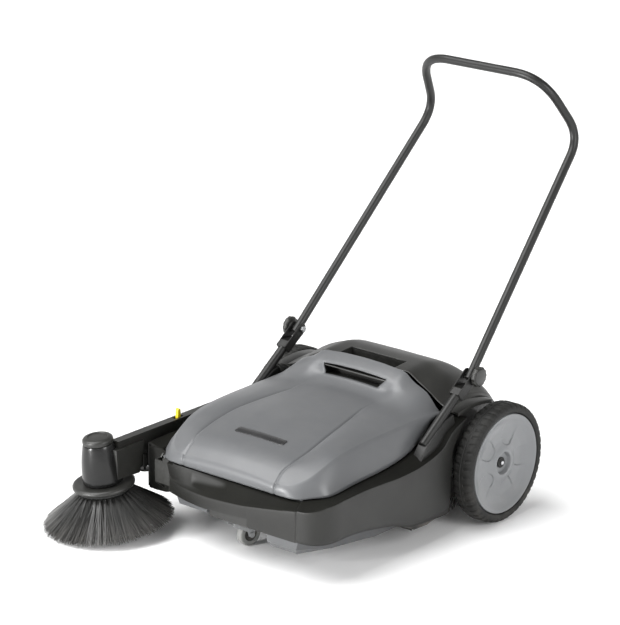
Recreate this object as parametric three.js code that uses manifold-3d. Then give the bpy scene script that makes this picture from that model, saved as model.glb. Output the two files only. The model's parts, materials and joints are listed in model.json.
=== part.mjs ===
// A walk-behind sweeper: lift-out hopper in front, cylindrical brush between the big wheels,
// one disc brush on a hinged arm, a caster in front and a fold-down push handle.
// Millimetres. While it is built, the front faces -Y, Z = 0 is the floor, the wheel axle is the
// line Y = 0 and X = 0 is the centre plane; at the end the group moves to its own centre.
import * as THREE from "three";
import { ConvexGeometry } from "three/addons/geometries/ConvexGeometry.js";
import { mergeVertices } from "three/addons/utils/BufferGeometryUtils.js";
import Module from "manifold-3d";

const wasm = await Module();
wasm.setup();

// ---- driving dimensions ----
const GAP = 0.4; // between neighbouring pieces
const WALL = 4; // moulded shells

const WHEEL_R = 150; // large wheels
const WHEEL_X = 328; // middle of each tyre
const WHEEL_HALF = 28; // half the tyre width
const AXLE_Z = 150;
const AXLE_R = 11.7;
const RIM_R = 126;

const TOOTH_MODULE = 4; // wheel ring gear and roller pinion
const RING_TEETH = 54;
const PINION_TEETH = 12;
const RING_PITCH_R = (TOOTH_MODULE * RING_TEETH) / 2;
const PINION_PITCH_R = (TOOTH_MODULE * PINION_TEETH) / 2;
const GEAR_X = [286, 299.4]; // the plane that both gears turn in

const ROLLER_Z = 126; // roller brush axis
const ROLLER_Y = -Math.sqrt((RING_PITCH_R - PINION_PITCH_R) ** 2 - (AXLE_Z - ROLLER_Z) ** 2);
const ROLLER_R = 122;
const ROLLER_HALF = 235; // half its length

const SIDE_X = 252; // outer faces of the frame's two side walls
const GUARD_X = 305; // outer faces of the side guards
const ARCH_R = 162; // wheel arch in the guards
const FRONT_Y = -643; // front face of the skirt

const PIVOT_Y = -195; // arm pivot and countershaft
const PIVOT_Z = 191;
const ARM_X = -330; // middle of the side-brush arm
const DRIVE_PULLEY_R = 47; // belt centre line on the right wheel's pulley
const COUNTER_PULLEY_R = 18; // the same on the countershaft
const ARM_PULLEY_R = 14; // both pulleys of the belt inside the arm

const BRUSH_BASE = new THREE.Vector3(-352, -664, 21); // centre of the circle of bristle tips
const BRUSH_UP = new THREE.Vector3(-0.05, -0.105, 1).normalize();
const BRUSH_R = 163;

const CASTER_R = 30;
const CASTER_AT = [-22, -523]; // caster wheel centre, seen from above
const CASTER_TURN = THREE.MathUtils.degToRad(13); // how far it stands turned
const CASTER_TRAIL = 22;

const CLAMP = [276, -47, 375]; // handle pivot on the left side
const TUBE_R = 11;
const TUBE_WALL = 1.7;

// ---- finishes ----
const finish = (color, roughness, metalness = 0) => ({ color, roughness, metalness });
const FINISH = {
  hood: finish(0x8b8e90, 0.42),
  frame: finish(0x32322e, 0.5),
  rim: finish(0x86898b, 0.45),
  rubber: finish(0x1c1c1b, 0.85),
  bristle: finish(0x2a2a28, 0.8),
  tube: finish(0x2c2d2c, 0.35, 0.3),
  zinc: finish(0xb9bcbd, 0.35, 0.9),
  lever: finish(0xe3cf10, 0.4),
  belt: finish(0x202020, 0.75),
  caster: finish(0x8f9190, 0.55),
  gear: finish(0xd8d6cc, 0.45),
};

// ---- making and joining solids ----
function solid(geometry) {
  const bare = geometry.clone();
  bare.deleteAttribute("normal");
  bare.deleteAttribute("uv");
  const merged = mergeVertices(bare, 1e-4);
  return new wasm.Manifold(
    new wasm.Mesh({
      numProp: 3,
      vertProperties: new Float32Array(merged.attributes.position.array),
      triVerts: new Uint32Array(merged.index.array),
    }),
  );
}

const join = (first, ...rest) => rest.reduce((whole, s) => whole.add(s), first);
const cut = (first, ...rest) => rest.reduce((whole, s) => whole.subtract(s), first);

function placed(geometry, matrix) {
  return solid(geometry.clone().applyMatrix4(matrix));
}

function box(x, y, z) {
  const g = new THREE.BoxGeometry(x[1] - x[0], y[1] - y[0], z[1] - z[0]);
  return solid(g.translate((x[0] + x[1]) / 2, (y[0] + y[1]) / 2, (z[0] + z[1]) / 2));
}

// Turns a shape's (u, v, depth) into the machine's axes.
const ALONG_X = new THREE.Matrix4().set(0, 0, 1, 0, 1, 0, 0, 0, 0, 1, 0, 0, 0, 0, 0, 1);
const ALONG_Y = new THREE.Matrix4().set(1, 0, 0, 0, 0, 0, -1, 0, 0, 1, 0, 0, 0, 0, 0, 1);

const shapeOf = (points) => new THREE.Shape(points.map((p) => new THREE.Vector2(...p)));

function extruded(shape, low, high, turn = new THREE.Matrix4()) {
  const g = new THREE.ExtrudeGeometry(shape, {
    depth: high - low,
    bevelEnabled: false,
    curveSegments: 8,
  });
  return placed(g.translate(0, 0, low), turn);
}

// A (y, z) outline stretched along X, and an (x, y) outline stretched along Z.
const acrossX = (points, x0, x1) => extruded(shapeOf(points), x0, x1, ALONG_X);
const upright = (points, z0, z1) => extruded(shapeOf(points), z0, z1);

// The frame of a turned part: its own +Y lies along axis, and its origin at centre.
function turned(centre, axis) {
  const spin = new THREE.Quaternion().setFromUnitVectors(new THREE.Vector3(0, 1, 0), axis);
  return new THREE.Matrix4().compose(centre, spin, new THREE.Vector3(1, 1, 1));
}

const X_AXIS = new THREE.Vector3(1, 0, 0);
const Z_AXIS = new THREE.Vector3(0, 0, 1);

// profile: (radius, height) corners. Flats face down, so a wheel rests on a flat.
function lathe(profile, segments, centre, axis) {
  const points = profile.map((p) => new THREE.Vector2(...p));
  const g = new THREE.LatheGeometry(points, segments, Math.PI / segments);
  return placed(g, turned(centre, axis));
}

// A closed profile, taken anticlockwise: it joins its last corner to its first.
function ring(profile, segments, centre, axis) {
  const area = THREE.ShapeUtils.area(profile.map((p) => new THREE.Vector2(...p)));
  const corners = area < 0 ? [...profile].reverse() : profile;
  return lathe([...corners, corners[0]], segments, centre, axis);
}

function rodX(r, x0, x1, y, z, segments = 24) {
  const g = new THREE.CylinderGeometry(r, r, x1 - x0, segments, 1, false, Math.PI / segments);
  return placed(g, turned(new THREE.Vector3((x0 + x1) / 2, y, z), X_AXIS));
}

function rodZ(r, z0, z1, x, y, segments = 24) {
  const g = new THREE.CylinderGeometry(r, r, z1 - z0, segments, 1, false, Math.PI / segments);
  return placed(g, turned(new THREE.Vector3(x, y, (z0 + z1) / 2), Z_AXIS));
}

const hull = (points) => solid(new ConvexGeometry(points.map((p) => new THREE.Vector3(...p))));
const bothSides = (points) => points.flatMap(([x, y, z]) => [[x, y, z], [-x, y, z]]);
const mirrored = (s) => s.mirror([1, 0, 0]);

// ---- pieces ----
const machine = new THREE.Group();

function add(name, made, look) {
  const mesh = made.getMesh();
  const g = new THREE.BufferGeometry();
  g.setAttribute("position", new THREE.BufferAttribute(mesh.vertProperties, 3));
  g.setIndex(new THREE.BufferAttribute(mesh.triVerts, 1));
  g.computeVertexNormals();
  const piece = new THREE.Mesh(g, new THREE.MeshStandardMaterial(FINISH[look]));
  piece.name = name;
  machine.add(piece);
}

// Makes name_left on +X and its mirror image name_right on -X.
function addPair(name, made, look) {
  add(name + "_left", made, look);
  add(name + "_right", mirrored(made), look);
}

// ---- gears ----
// Straight-flanked teeth round a circle; inward for the ring, outward for the pinion.
function toothOutline(teeth, pitchR, inward) {
  const tip = pitchR + (inward ? -1 : 1) * 0.7 * TOOTH_MODULE;
  const root = pitchR + (inward ? 1 : -1) * 0.95 * TOOTH_MODULE;
  const half = (r) => {
    const slope = Math.abs(r - pitchR) * Math.tan(THREE.MathUtils.degToRad(20));
    const thinner = (r - pitchR) * (inward ? -1 : 1) > 0 ? -slope : slope;
    return (0.42 * Math.PI * TOOTH_MODULE * 0.5 + thinner) / r;
  };
  const points = [];
  for (let i = 0; i < teeth; i++) {
    const middle = (2 * Math.PI * i) / teeth;
    for (const [r, side] of [[root, -1], [tip, -1], [tip, 1], [root, 1]]) {
      const a = middle + side * half(r);
      points.push([r * Math.cos(a), r * Math.sin(a)]);
    }
  }
  return points;
}

const circle = (r, n) =>
  Array.from({ length: n }, (_, i) => {
    const a = (2 * Math.PI * (i + 0.5)) / n;
    return [r * Math.cos(a), r * Math.sin(a)];
  });

// Turned about X through (y, z) by angle, as teeth are set in mesh.
function gearX(outline, holes, x, y, z, angle) {
  const shape = shapeOf(outline);
  shape.holes = holes.map((h) => new THREE.Path(h.map((p) => new THREE.Vector2(...p))));
  const turn = new THREE.Matrix4().makeTranslation(0, y, z);
  turn.multiply(new THREE.Matrix4().makeRotationX(angle)).multiply(ALONG_X);
  return extruded(shape, x[0], x[1], turn);
}

// ---- large wheels ----
function wheelParts() {
  const centre = new THREE.Vector3(WHEEL_X, 0, AXLE_Z);
  const r = WHEEL_R / Math.cos(Math.PI / 40);
  const tyre = ring(
    [
      [RIM_R + GAP, -20], [RIM_R + 4, -WHEEL_HALF], [r - 9, -WHEEL_HALF], [r, -WHEEL_HALF + 7],
      [r, WHEEL_HALF - 7], [r - 9, WHEEL_HALF], [RIM_R + 4, WHEEL_HALF], [RIM_R + GAP, 20],
    ],
    40, centre, X_AXIS,
  );
  const rim = ring(
    [
      [12.4, -18], [29, -18], [33, 6], [104, 8], [113, -26], [RIM_R - 1, -26],
      [RIM_R - 1, 26], [108, 20], [60, 13], [34, 19], [27, 19], [27, 11], [12.4, 11],
    ],
    32, centre, X_AXIS,
  );
  const axle = join(
    rodX(28, SIDE_X + GAP, SIDE_X + 6, 0, AXLE_Z),
    rodX(AXLE_R, SIDE_X + 4, WHEEL_X + 11.5, 0, AXLE_Z),
  );
  const washer = ring([[5, 12], [20, 12], [20, 15], [5, 15]], 24, centre, X_AXIS);
  const bolt = join(
    rodX(9, WHEEL_X + 15.4, WHEEL_X + 22, 0, AXLE_Z, 6),
    rodX(4.4, WHEEL_X + 12, WHEEL_X + 16, 0, AXLE_Z, 12),
  );
  return { tyre, rim, axle, washer, bolt };
}

const wheel = wheelParts();
addPair("tyre", wheel.tyre, "rubber");
addPair("rim", wheel.rim, "rim");
addPair("axle", wheel.axle, "zinc");
addPair("axle_washer", wheel.washer, "rubber");
addPair("axle_bolt", wheel.bolt, "zinc");

const toRoller = Math.atan2(ROLLER_Z - AXLE_Z, ROLLER_Y);
const ringGear = gearX(
  circle(RING_PITCH_R + 8, 54),
  [toothOutline(RING_TEETH, RING_PITCH_R, true)],
  GEAR_X, 0, AXLE_Z, toRoller + Math.PI / RING_TEETH,
);
add("ring_gear", ringGear, "gear");

function pulley(x, y, z, beltR, bore, segments) {
  const middle = (x[0] + x[1]) / 2;
  const half = (x[1] - x[0]) / 2;
  return ring(
    [
      [bore, -half], [beltR + 4, -half], [beltR + 4, -half + 1.5], [beltR - 2.6, -3.5],
      [beltR - 2.6, 3.5], [beltR + 4, half - 1.5], [beltR + 4, half], [bore, half],
    ],
    segments, new THREE.Vector3(middle, y, z), X_AXIS,
  );
}
const BELT_X = [-299.4, -286];
add("drive_pulley", pulley(BELT_X, 0, AXLE_Z, DRIVE_PULLEY_R, 12.4, 32), "gear");

// ---- roller brush ----
const rollerAt = new THREE.Vector3(0, ROLLER_Y, ROLLER_Z);
add("roller_shaft", rodX(9, -SIDE_X - 8, GEAR_X[1], ROLLER_Y, ROLLER_Z, 20), "zinc");
const pinion = gearX(
  toothOutline(PINION_TEETH, PINION_PITCH_R, false),
  [circle(9.4, 20)],
  GEAR_X, ROLLER_Y, ROLLER_Z, toRoller,
);
add("roller_pinion", pinion, "gear");
const core = ring(
  [
    [9.5, -ROLLER_HALF], [45, -ROLLER_HALF], [45, ROLLER_HALF], [9.5, ROLLER_HALF],
    [9.5, ROLLER_HALF - 4], [42, ROLLER_HALF - 4], [42, 4 - ROLLER_HALF], [9.5, 4 - ROLLER_HALF],
  ],
  24, rollerAt, X_AXIS,
);
add("roller_core", core, "frame");

// Rows of bristles standing on a thin ring, along the whole roller.
function rollerRows() {
  const rows = 8;
  const foot = 50;
  const points = [];
  for (let i = 0; i < rows; i++) {
    const middle = (2 * Math.PI * i) / rows;
    for (const [r, half] of [[foot, -4], [ROLLER_R, -3], [ROLLER_R, 3], [foot, 4]]) {
      points.push([r * Math.cos(middle + half / r), r * Math.sin(middle + half / r)]);
    }
    const between = middle + Math.PI / rows;
    points.push([foot * Math.cos(between), foot * Math.sin(between)]);
  }
  const shape = shapeOf(points);
  shape.holes = [new THREE.Path(circle(47.8, 24).map((p) => new THREE.Vector2(...p)))];
  const turn = new THREE.Matrix4().makeTranslation(0, ROLLER_Y, ROLLER_Z).multiply(ALONG_X);
  return extruded(shape, 4 - ROLLER_HALF, ROLLER_HALF - 4, turn);
}
add("roller_bristles", rollerRows(), "bristle");

const bearing = ring(
  [[9.5, 0], [24, 0], [24, 3], [19.5, 3], [19.5, 8], [9.5, 8]],
  24, new THREE.Vector3(SIDE_X - 7.6, ROLLER_Y, ROLLER_Z), X_AXIS,
);
addPair("roller_bearing", bearing, "frame");

// ---- frame ----
// Lower edge of the hood along the side, as (y, z).
const HOOD_RISE = [[-300, 203], [-223, 218], [-167, 233], [-144, 249], [-127, 271], [-116, 294]];

function frameShell() {
  const seat = HOOD_RISE.slice(1, -1).map(([y, z]) => [y + 3, z - 7]);
  const wallShape = [
    [-604, 128], [-604, 186], [-584, 186], [-575, 195], [-262, 195], ...seat, [-108, 280], [-20, 280], [50, 236],
    [78, 180], [78, 60], [-160, 60], [-300, 60], [-560, 92],
  ];
  const side = join(
    acrossX(wallShape, SIDE_X - WALL, SIDE_X),
    ...[-540, -400, -278].map((y) => box([SIDE_X - 1, 299], [y - 12, y + 12], [190, 194.5])),
  );
  const openings = [
    rodX(20, SIDE_X - 9, SIDE_X + 3, ROLLER_Y, ROLLER_Z),
    rodX(20, -SIDE_X - 3, -SIDE_X + 9, ROLLER_Y, ROLLER_Z),
  ];
  const inner = SIDE_X - 1;
  return cut(
    join(
      side,
      mirrored(side),
      box([-inner, inner], [-604, -600], [128, 186]),
      box([-226, 226], [-604, -600], [180, 195]),
      box([-75, 62], [-604, -600], [86, 130]),
      box([-75, 62], [-604, -480], [86, 90]),
      box([-inner, inner], [74, 78], [60, 236]),
      box([-inner, inner], [50, 78], [60, 64]),
    ),
    ...openings,
  );
}
add("frame", frameShell(), "frame");

// Top edge of a guard from front to wheel arch, as (y, z).
const GUARD_TOP = [
  [-648, 170], [-630, 181], [-600, 196], [-562, 203], [-300, 206], [-248, 207], [-192, 222],
  [-147, 247], [-96, 281],
];
const GUARD_BOTTOM = [[-158, 60], [-179, 58], [-303, 65], [-390, 92], [-553, 114], [-648, 110]];

function archPoints() {
  const from = Math.atan2(281 - AXLE_Z, -96);
  const to = Math.atan2(182 - AXLE_Z, -158);
  return Array.from({ length: 7 }, (_, i) => {
    const a = from + ((to - from) * i) / 6;
    return [ARCH_R * Math.cos(a), AXLE_Z + ARCH_R * Math.sin(a)];
  });
}

// Plan outline of the left guard: straight side, round front corner.
function guardPlan(inset) {
  const shape = new THREE.Shape();
  const x = GUARD_X - inset;
  const y = FRONT_Y + inset;
  shape.moveTo(228, y);
  shape.bezierCurveTo(272, y, x, -625, x, -570);
  shape.lineTo(x, -60);
  return shape.getPoints(8);
}

function leftGuard() {
  const outer = guardPlan(0).map((p) => [p.x, p.y]);
  const inner = guardPlan(WALL).map((p) => [p.x, p.y]);
  const band = upright([...outer, ...inner.reverse()], 40, 320);
  const profile = [...GUARD_TOP, ...archPoints().slice(1), ...GUARD_BOTTOM];
  const top = GUARD_TOP.map(([y, z]) => [y, z - 3.5]).reverse();
  const ledgeSide = acrossX([...GUARD_TOP, ...top], 200, 320);
  const hoodEdge = [[266, -60], [266, -556], [240, -592], [228, -606]];
  const ledgePlan = upright([...outer, ...hoodEdge], 140, 320);
  return join(
    band.intersect(acrossX(profile, 200, 320)),
    ledgePlan.intersect(ledgeSide),
  );
}
add("side_guard_left", leftGuard(), "frame");

// The right guard stops short at a post that shields the disc brush from the hopper.
function rightGuard() {
  const profile = [
    [-572, 203], ...GUARD_TOP.slice(4), ...archPoints().slice(1), ...GUARD_BOTTOM.slice(0, 3),
    [-390, 70], [-496, 64], [-502, 84], [-572, 96],
  ];
  const top = GUARD_TOP.slice(4).map(([y, z]) => [y, z - 3.5]).reverse();
  const panel = acrossX(profile, -GUARD_X, WALL - GUARD_X);
  const ledge = acrossX([[-572, 203], ...GUARD_TOP.slice(4), ...top, [-572, 199.5]],
    -GUARD_X, -266);
  const front = hull([
    ...[-572, -568].flatMap((y) => [
      [-GUARD_X, y, 104], [-253, y, 84], [-253, y, 203], [-GUARD_X, y, 203],
    ]),
  ]);
  const hole = rodX(14.5, -GUARD_X - 5, -290, PIVOT_Y, PIVOT_Z);
  return cut(join(panel, ledge, front), hole);
}
add("side_guard_right", rightGuard(), "frame");

// Front moulding: a sloped face over a thin lip, dropping to a deep skirt left of the caster.
function frontLip() {
  const plan = [
    [-203, -604.6], [227.6, -604.6], [227.6, FRONT_Y], [80, FRONT_Y - 2], [0, FRONT_Y],
    [-74, -637], [-139, -625],
  ];
  const block = upright(plan, 90, 210);
  const lip = [[-560, 125], [-560, 195], [-616, 195], [-645, 150], [-645, 125]];
  const skirt = [[-604, 110], [-604, 195], [-616, 195], [-640, 166], [-646, 162], [-646, 110]];
  const body = block.intersect(join(acrossX(lip, -260, 82), acrossX(skirt, 80, 227.6)));
  const hollow = join(
    hull([
      [-200, -608, 120], [78, -608, 120], [-200, -608, 188], [78, -608, 188],
      [-60, -632, 120], [78, -640, 120], [-60, -630, 150], [78, -636, 150],
    ]),
    acrossX([[-608, 100], [-608, 186], [-614, 186], [-638, 160], [-638, 100]], 84, 223),
  );
  return cut(body, hollow);
}
add("front_lip", frontLip(), "frame");

// Hump over the roller: a carrying bridge with a grip trough ahead of it.
function rearCover() {
  const crown = (d) =>
    hull(
      bothSides([
        [128 - d, -109 + d, 366 - d], [160 - d, -109 + d, 350 - d], [200 - d, -109 + d, 327 - d],
        [236 - d, -109 + d, 298 - d], [247 - d, -109 + d, 284], [120 - d, -38, 370 - d],
        [190 - d, -25, 345 - d], [262 - d, -36, 334 - d], [271 - d, 0, 341 - d],
        [283 - d, 20, 300 - d], [283 - d, -36, 284], [283 - d, 20, 284], [262 - d, 60, 284],
      ]),
    );
  const back = (d) =>
    hull(
      bothSides([
        [190 - d, -25, 345 - d], [262 - d, 0, 338 - d], [262 - d, 0, 250], [262 - d, 60 - d, 286],
        [247 - d, 104 - d, 220], [247 - d, 112 - d, 160], [247 - d, 112 - d, 90], [240 - d, 82, 90],
        [240 - d, 82, 240], [150, -20, 358 - d],
      ]),
    );
  const lips = [1, -1].map((s) =>
    join(
      box(s > 0 ? [286, 290] : [-290, -286], [-112, 10], [284, 306]),
      box(s > 0 ? [244, 288] : [-288, -244], [-108, 12], [284, 287.5]),
    ),
  );
  const trough = join(
    box([-112, 112], [-130, -112 + 4], [330, 400]),
    box([-112, 112], [-112, -56], [334, 400]),
  );
  const troughShell = box([-115, 115], [-106, -53], [331, 362]);
  const room = join(crown(WALL), back(WALL), box([-243, 243], [-104, 60], [200, 285]));
  const belowWheel = join(
    box([247.6, 300], [-130, 130], [60, 283.6]),
    box([-300, -247.6], [-130, 130], [60, 283.6]),
    box([-248, 248], [-130, 79.5], [60, 240]),
  );
  const openFront = box([-235, 235], [-120, -104], [200, 318]);
  const shell = cut(join(crown(0), back(0)), room, belowWheel);
  return cut(join(shell, troughShell, ...lips), trough, openFront, belowWheel);
}
add("rear_cover", rearCover(), "frame");

// ---- rubber seals ----
const flap = (y, z) => box([-243, 243], y, z);
add("rear_seal", flap([68, 71], [4, 58]), "rubber");
function sideSeal() {
  const shape = [[-330, 110], [-330, 70], [-290, 52], [-240, 50], [-168, 64], [-168, 110]];
  return acrossX(shape, GUARD_X - WALL - 6, GUARD_X - WALL - GAP);
}
addPair("side_seal", sideSeal(), "rubber");

// ---- hopper ----
const HOOD_SIDE = [[-620, 198], [-586, 237], [-553, 263], [-400, 262], [-300, 256]];
const CREASE_IN = [
  [-619, 201], [-615, 228], [-594, 248], [-558, 266], [-529, 273], [-420, 295], [-271, 307],
  [-146, 315], [-118, 318],
];
const CREASE_OUT = [
  [-570, 212], [-555, 231], [-442, 253], [-331, 268], [-255, 274], [-144, 284], [-118, 288],
];

// Hood body, d inside its surface.
function hoodBody(d) {
  const floor = 200.6;
  return hull(
    bothSides([
      ...HOOD_SIDE.map(([y, x]) => [x - d, Math.max(y, d - 620), floor]),
      [243 - d, -223, 218], [240 - d, -118, 262], [250 - d, -223, floor], [246 - d, -118, floor],
      ...CREASE_IN.map(([y, z]) => [150, Math.max(y, d - 618), z - d]),
      ...CREASE_IN.slice(1).map(([y, z]) => [10, Math.max(y, d - 618), z + 6 - d]),
      ...CREASE_OUT.map(([y, z]) => [230 - d, Math.max(y, d - 570), z - d]),
    ]),
  );
}

// The raised brow along the hood's back edge, with the hand slot under it.
function hoodBrow(d) {
  return hull(
    bothSides([
      [100, -152 + d, 350 - d], [128, -119 - d, 370 - d], [159 - d, -118 - d, 352 - d],
      [197 - d, -118 - d, 330 - d], [236 - d, -118 - d, 292 - d], [150, -158 + d, 312 - d],
      [215 - d, -150, 286 - d], [100, -170, 316 - d], [100, -118 - d, 280], [230 - d, -118 - d, 280],
    ]),
  );
}

function hood() {
  const underEdge = acrossX([[-301, 190], ...HOOD_RISE, [-100, 294], [-100, 190]], -280, 280);
  const inside = join(hoodBody(3.5), hoodBrow(3.5), box([-225, 225], [-200, -121.5], [270, 300]));
  const pocket = box([-100, 100], [-170, -126], [326, 347]);
  const pocketShell = box([-103, 103], [-150, -123], [323, 350]);
  const outside = join(hoodBody(0), hoodBrow(0));
  const open = box([-260, 260], [-640, -120], [195, 200.8]);
  return cut(
    join(cut(outside, inside), pocketShell.intersect(outside)),
    pocket, underEdge, open,
  );
}
add("hopper_hood", hood(), "hood");

// Bin under the hood, with a raised floor in the middle of its front where the caster turns.
function tray() {
  const shell = (d) =>
    hull(
      bothSides([
        [168 - d, -566 + d, 40 + d], [185 - d, -590 + d, 62], [205 - d, -484, 40 + d],
        [236 - d, -362, 40 + d], [238 - d, -216 - d, 40 + d], [243 - d, -540, 197.6],
        [232 - d, -596 + d, 197.6], [243 - d, -216 - d, 197.6],
      ]),
    );
  const notch = (d) => box([-95 - d, 95 + d], [-640, -476 + d], [20, 96 + d]);
  const rim = cut(
    box([-261, 261], [-598, -264], [195.6, 198.4]),
    box([-239, 239], [-592, -218], [190, 204]),
  );
  const corner = hull(bothSides([
    [225, -598.5, 190], [255, -560, 190], [225, -598.5, 205], [255, -560, 205],
    [262, -540, 190], [262, -540, 205], [262, -200, 190], [262, -200, 205],
  ]));
  const back = box([-243, 243], [-219.5, -210], [40, 170]);
  const bin = cut(shell(0), notch(0), cut(shell(3), notch(3)), box([-210, 210], [-222, -200], [170, 210]));
  return join(bin, rim.intersect(corner), back.intersect(shell(0)));
}
add("hopper_tray", tray(), "hood");
add("tray_lip_seal", box([-232, 232], [-215, -211.5], [8, 74]), "rubber");

// ---- caster ----
const casterAxis = new THREE.Vector3(Math.cos(CASTER_TURN), -Math.sin(CASTER_TURN), 0);
const casterCentre = new THREE.Vector3(...CASTER_AT, CASTER_R);
const SWIVEL = [
  CASTER_AT[0] - CASTER_TRAIL * Math.sin(CASTER_TURN),
  CASTER_AT[1] - CASTER_TRAIL * Math.cos(CASTER_TURN),
];
function caster() {
  const r = CASTER_R / Math.cos(Math.PI / 32);
  const tyre = ring(
    [[17.5, -10], [r - 4, -10], [r, -7], [r, 7], [r - 4, 10], [17.5, 10]],
    32, casterCentre, casterAxis,
  );
  const hub = ring(
    [[4.5, -11], [17, -9], [17, 9], [4.5, 11]], 24, casterCentre, casterAxis,
  );
  const axle = ring(
    [[0.5, -17], [7, -17], [7, -14.4], [4, -14.4], [4, 14.4], [7, 14.4], [7, 17], [0.5, 17]],
    12, casterCentre, casterAxis,
  );
  // The fork is built square to the machine round its wheel, then turned with it.
  const plate = [[-52, 70], [0, 70], [10, 44], [8, 26], [-8, 26], [-12, 40], [-52, 62]];
  const cheeks = [[-14.2, -12], [12, 14.2]].map(([x0, x1]) => acrossX(plate, x0, x1));
  const crown = box([-14.2, 14.2], [-46, 2], [66, 70]);
  const stem = rodZ(14, 69, 79.5, 0, -CASTER_TRAIL);
  const bore = rodX(4.5, -20, 20, 0, CASTER_R, 12);
  const square = cut(join(...cheeks, crown, stem), bore);
  const fork = square.rotate([0, 0, (-CASTER_TURN * 180) / Math.PI]);
  return { tyre, hub, axle, fork: fork.translate([...CASTER_AT, 0]) };
}
const front = caster();
add("caster_tyre", front.tyre, "caster");
add("caster_hub", front.hub, "rubber");
add("caster_axle", front.axle, "zinc");
add("caster_fork", front.fork, "zinc");
add("caster_plate", box([SWIVEL[0] - 30, SWIVEL[0] + 30], [SWIVEL[1] - 30, SWIVEL[1] + 34],
  [80, 85.6]), "zinc");

// ---- side-brush arm ----
const alongBrush = (t) => BRUSH_BASE.clone().addScaledVector(BRUSH_UP, t);
const PULLEY_T = 172; // height of the brush pulley along the brush axis
const brushPulleyAt = alongBrush(PULLEY_T);
const headOuter = (d) => [[48 + d, 106], [36 + d, 190], [35 + d, 205]];

// The belt's own space inside the arm, from the pivot to endY.
function caseHull(d, endY = -640) {
  const ends = [
    [ARM_X - 12 + d, -178 - d, 172 + d], [ARM_X + 12 - d, -178 - d, 172 + d],
    [ARM_X - 12 + d, -178 - d, 226 - d], [ARM_X + 12 - d, -178 - d, 226 - d],
    [-382 + d, endY, 180 + d], [-326 - d, endY, 180 + d],
    [-382 + d, endY, 208 - d], [-326 - d, endY, 208 - d],
  ];
  return hull(ends);
}
function armShell() {
  const side = [
    [-660, 150], [-660, 230], [-182, 230], [-170, 222], [-170, 176], [-182, 168],
    [-440, 176], [-533, 166], [-594, 137], [-620, 137],
  ];
  const hollow = [
    [-650, 100], [-650, 226], [-184, 226], [-174, 220], [-174, 178], [-184, 171],
    [-440, 160], [-533, 140],
  ];
  const beam = acrossX(side, ARM_X - 12, ARM_X + 12);
  const shoulder = hull([
    [-372, -690, 140], [-306, -676, 140], [-372, -690, 213], [-310, -676, 213],
    [-345, -600, 137], [-306, -600, 137], [-345, -580, 213], [-310, -580, 213],
  ]);
  const room = join(
    acrossX(hollow, ARM_X - 9.5, ARM_X + 9.5),
    caseHull(2.5),
    hull([
      [-369, -686, 100], [-309, -672, 100], [-369, -686, 210], [-313, -672, 210],
      [-342, -603, 100], [-309, -603, 100], [-342, -588, 210], [-313, -588, 210],
    ]),
  );
  const head = lathe([[0, 90], [48 + GAP, 90], ...headOuter(GAP), [35 + GAP, 240], [0, 240]],
    32, BRUSH_BASE, BRUSH_UP);
  const journalHole = rodX(13.8, ARM_X + 5, ARM_X + 20, PIVOT_Y, PIVOT_Z);
  const leverSlot = box([ARM_X - 5.5, ARM_X + 5.5], [-453, -421], [215, 240]);
  return cut(join(beam, caseHull(0), shoulder), room, head, journalHole, leverSlot);
}
add("arm_shell", armShell(), "frame");

function headHousing() {
  const body = ring(
    [
      ...headOuter(0), [32, 205], [33, 190], [37.7, 157], [9, 157], [9, 151], [38.6, 151],
      [45, 106],
    ],
    32, BRUSH_BASE, BRUSH_UP,
  );
  return cut(body, caseHull(2.5, -672));
}
add("head_housing", headHousing(), "frame");
add("head_cap", lathe([[0, 205.4], [34, 205.4], [34, 215], [30, 221], [0, 221]],
  32, BRUSH_BASE, BRUSH_UP), "frame");

add("brush_shaft", lathe([[0, 92], [8, 92], [8, 198], [0, 198]], 20, BRUSH_BASE, BRUSH_UP), "zinc");
add("brush_pulley", ring(
  [
    [8.4, -6.5], [18, -6.5], [18, -5.5], [11, -2.8], [11, 2.8], [18, 5.5], [18, 6.5], [8.4, 6.5],
  ],
  24, brushPulleyAt, BRUSH_UP), "gear");
add("brush_flange", ring(
  [
    [8.4, 95], [66, 95], [66, 91.4], [74, 92], [77, 96], [76, 101], [70, 104.5], [8.4, 103],
  ],
  32, BRUSH_BASE, BRUSH_UP), "frame");
add("brush_block", ring([[30, 80], [62, 78], [66, 84], [65.4, 94.5], [30, 94.5]],
  32, BRUSH_BASE, BRUSH_UP), "frame");
add("side_bristles", ring(
  [[54, 77.6], [62.5, 77.6], [120, 40], [BRUSH_R, 5], [BRUSH_R - 2, 0], [148, 5], [108, 40]],
  32, BRUSH_BASE, BRUSH_UP), "bristle");

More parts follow.
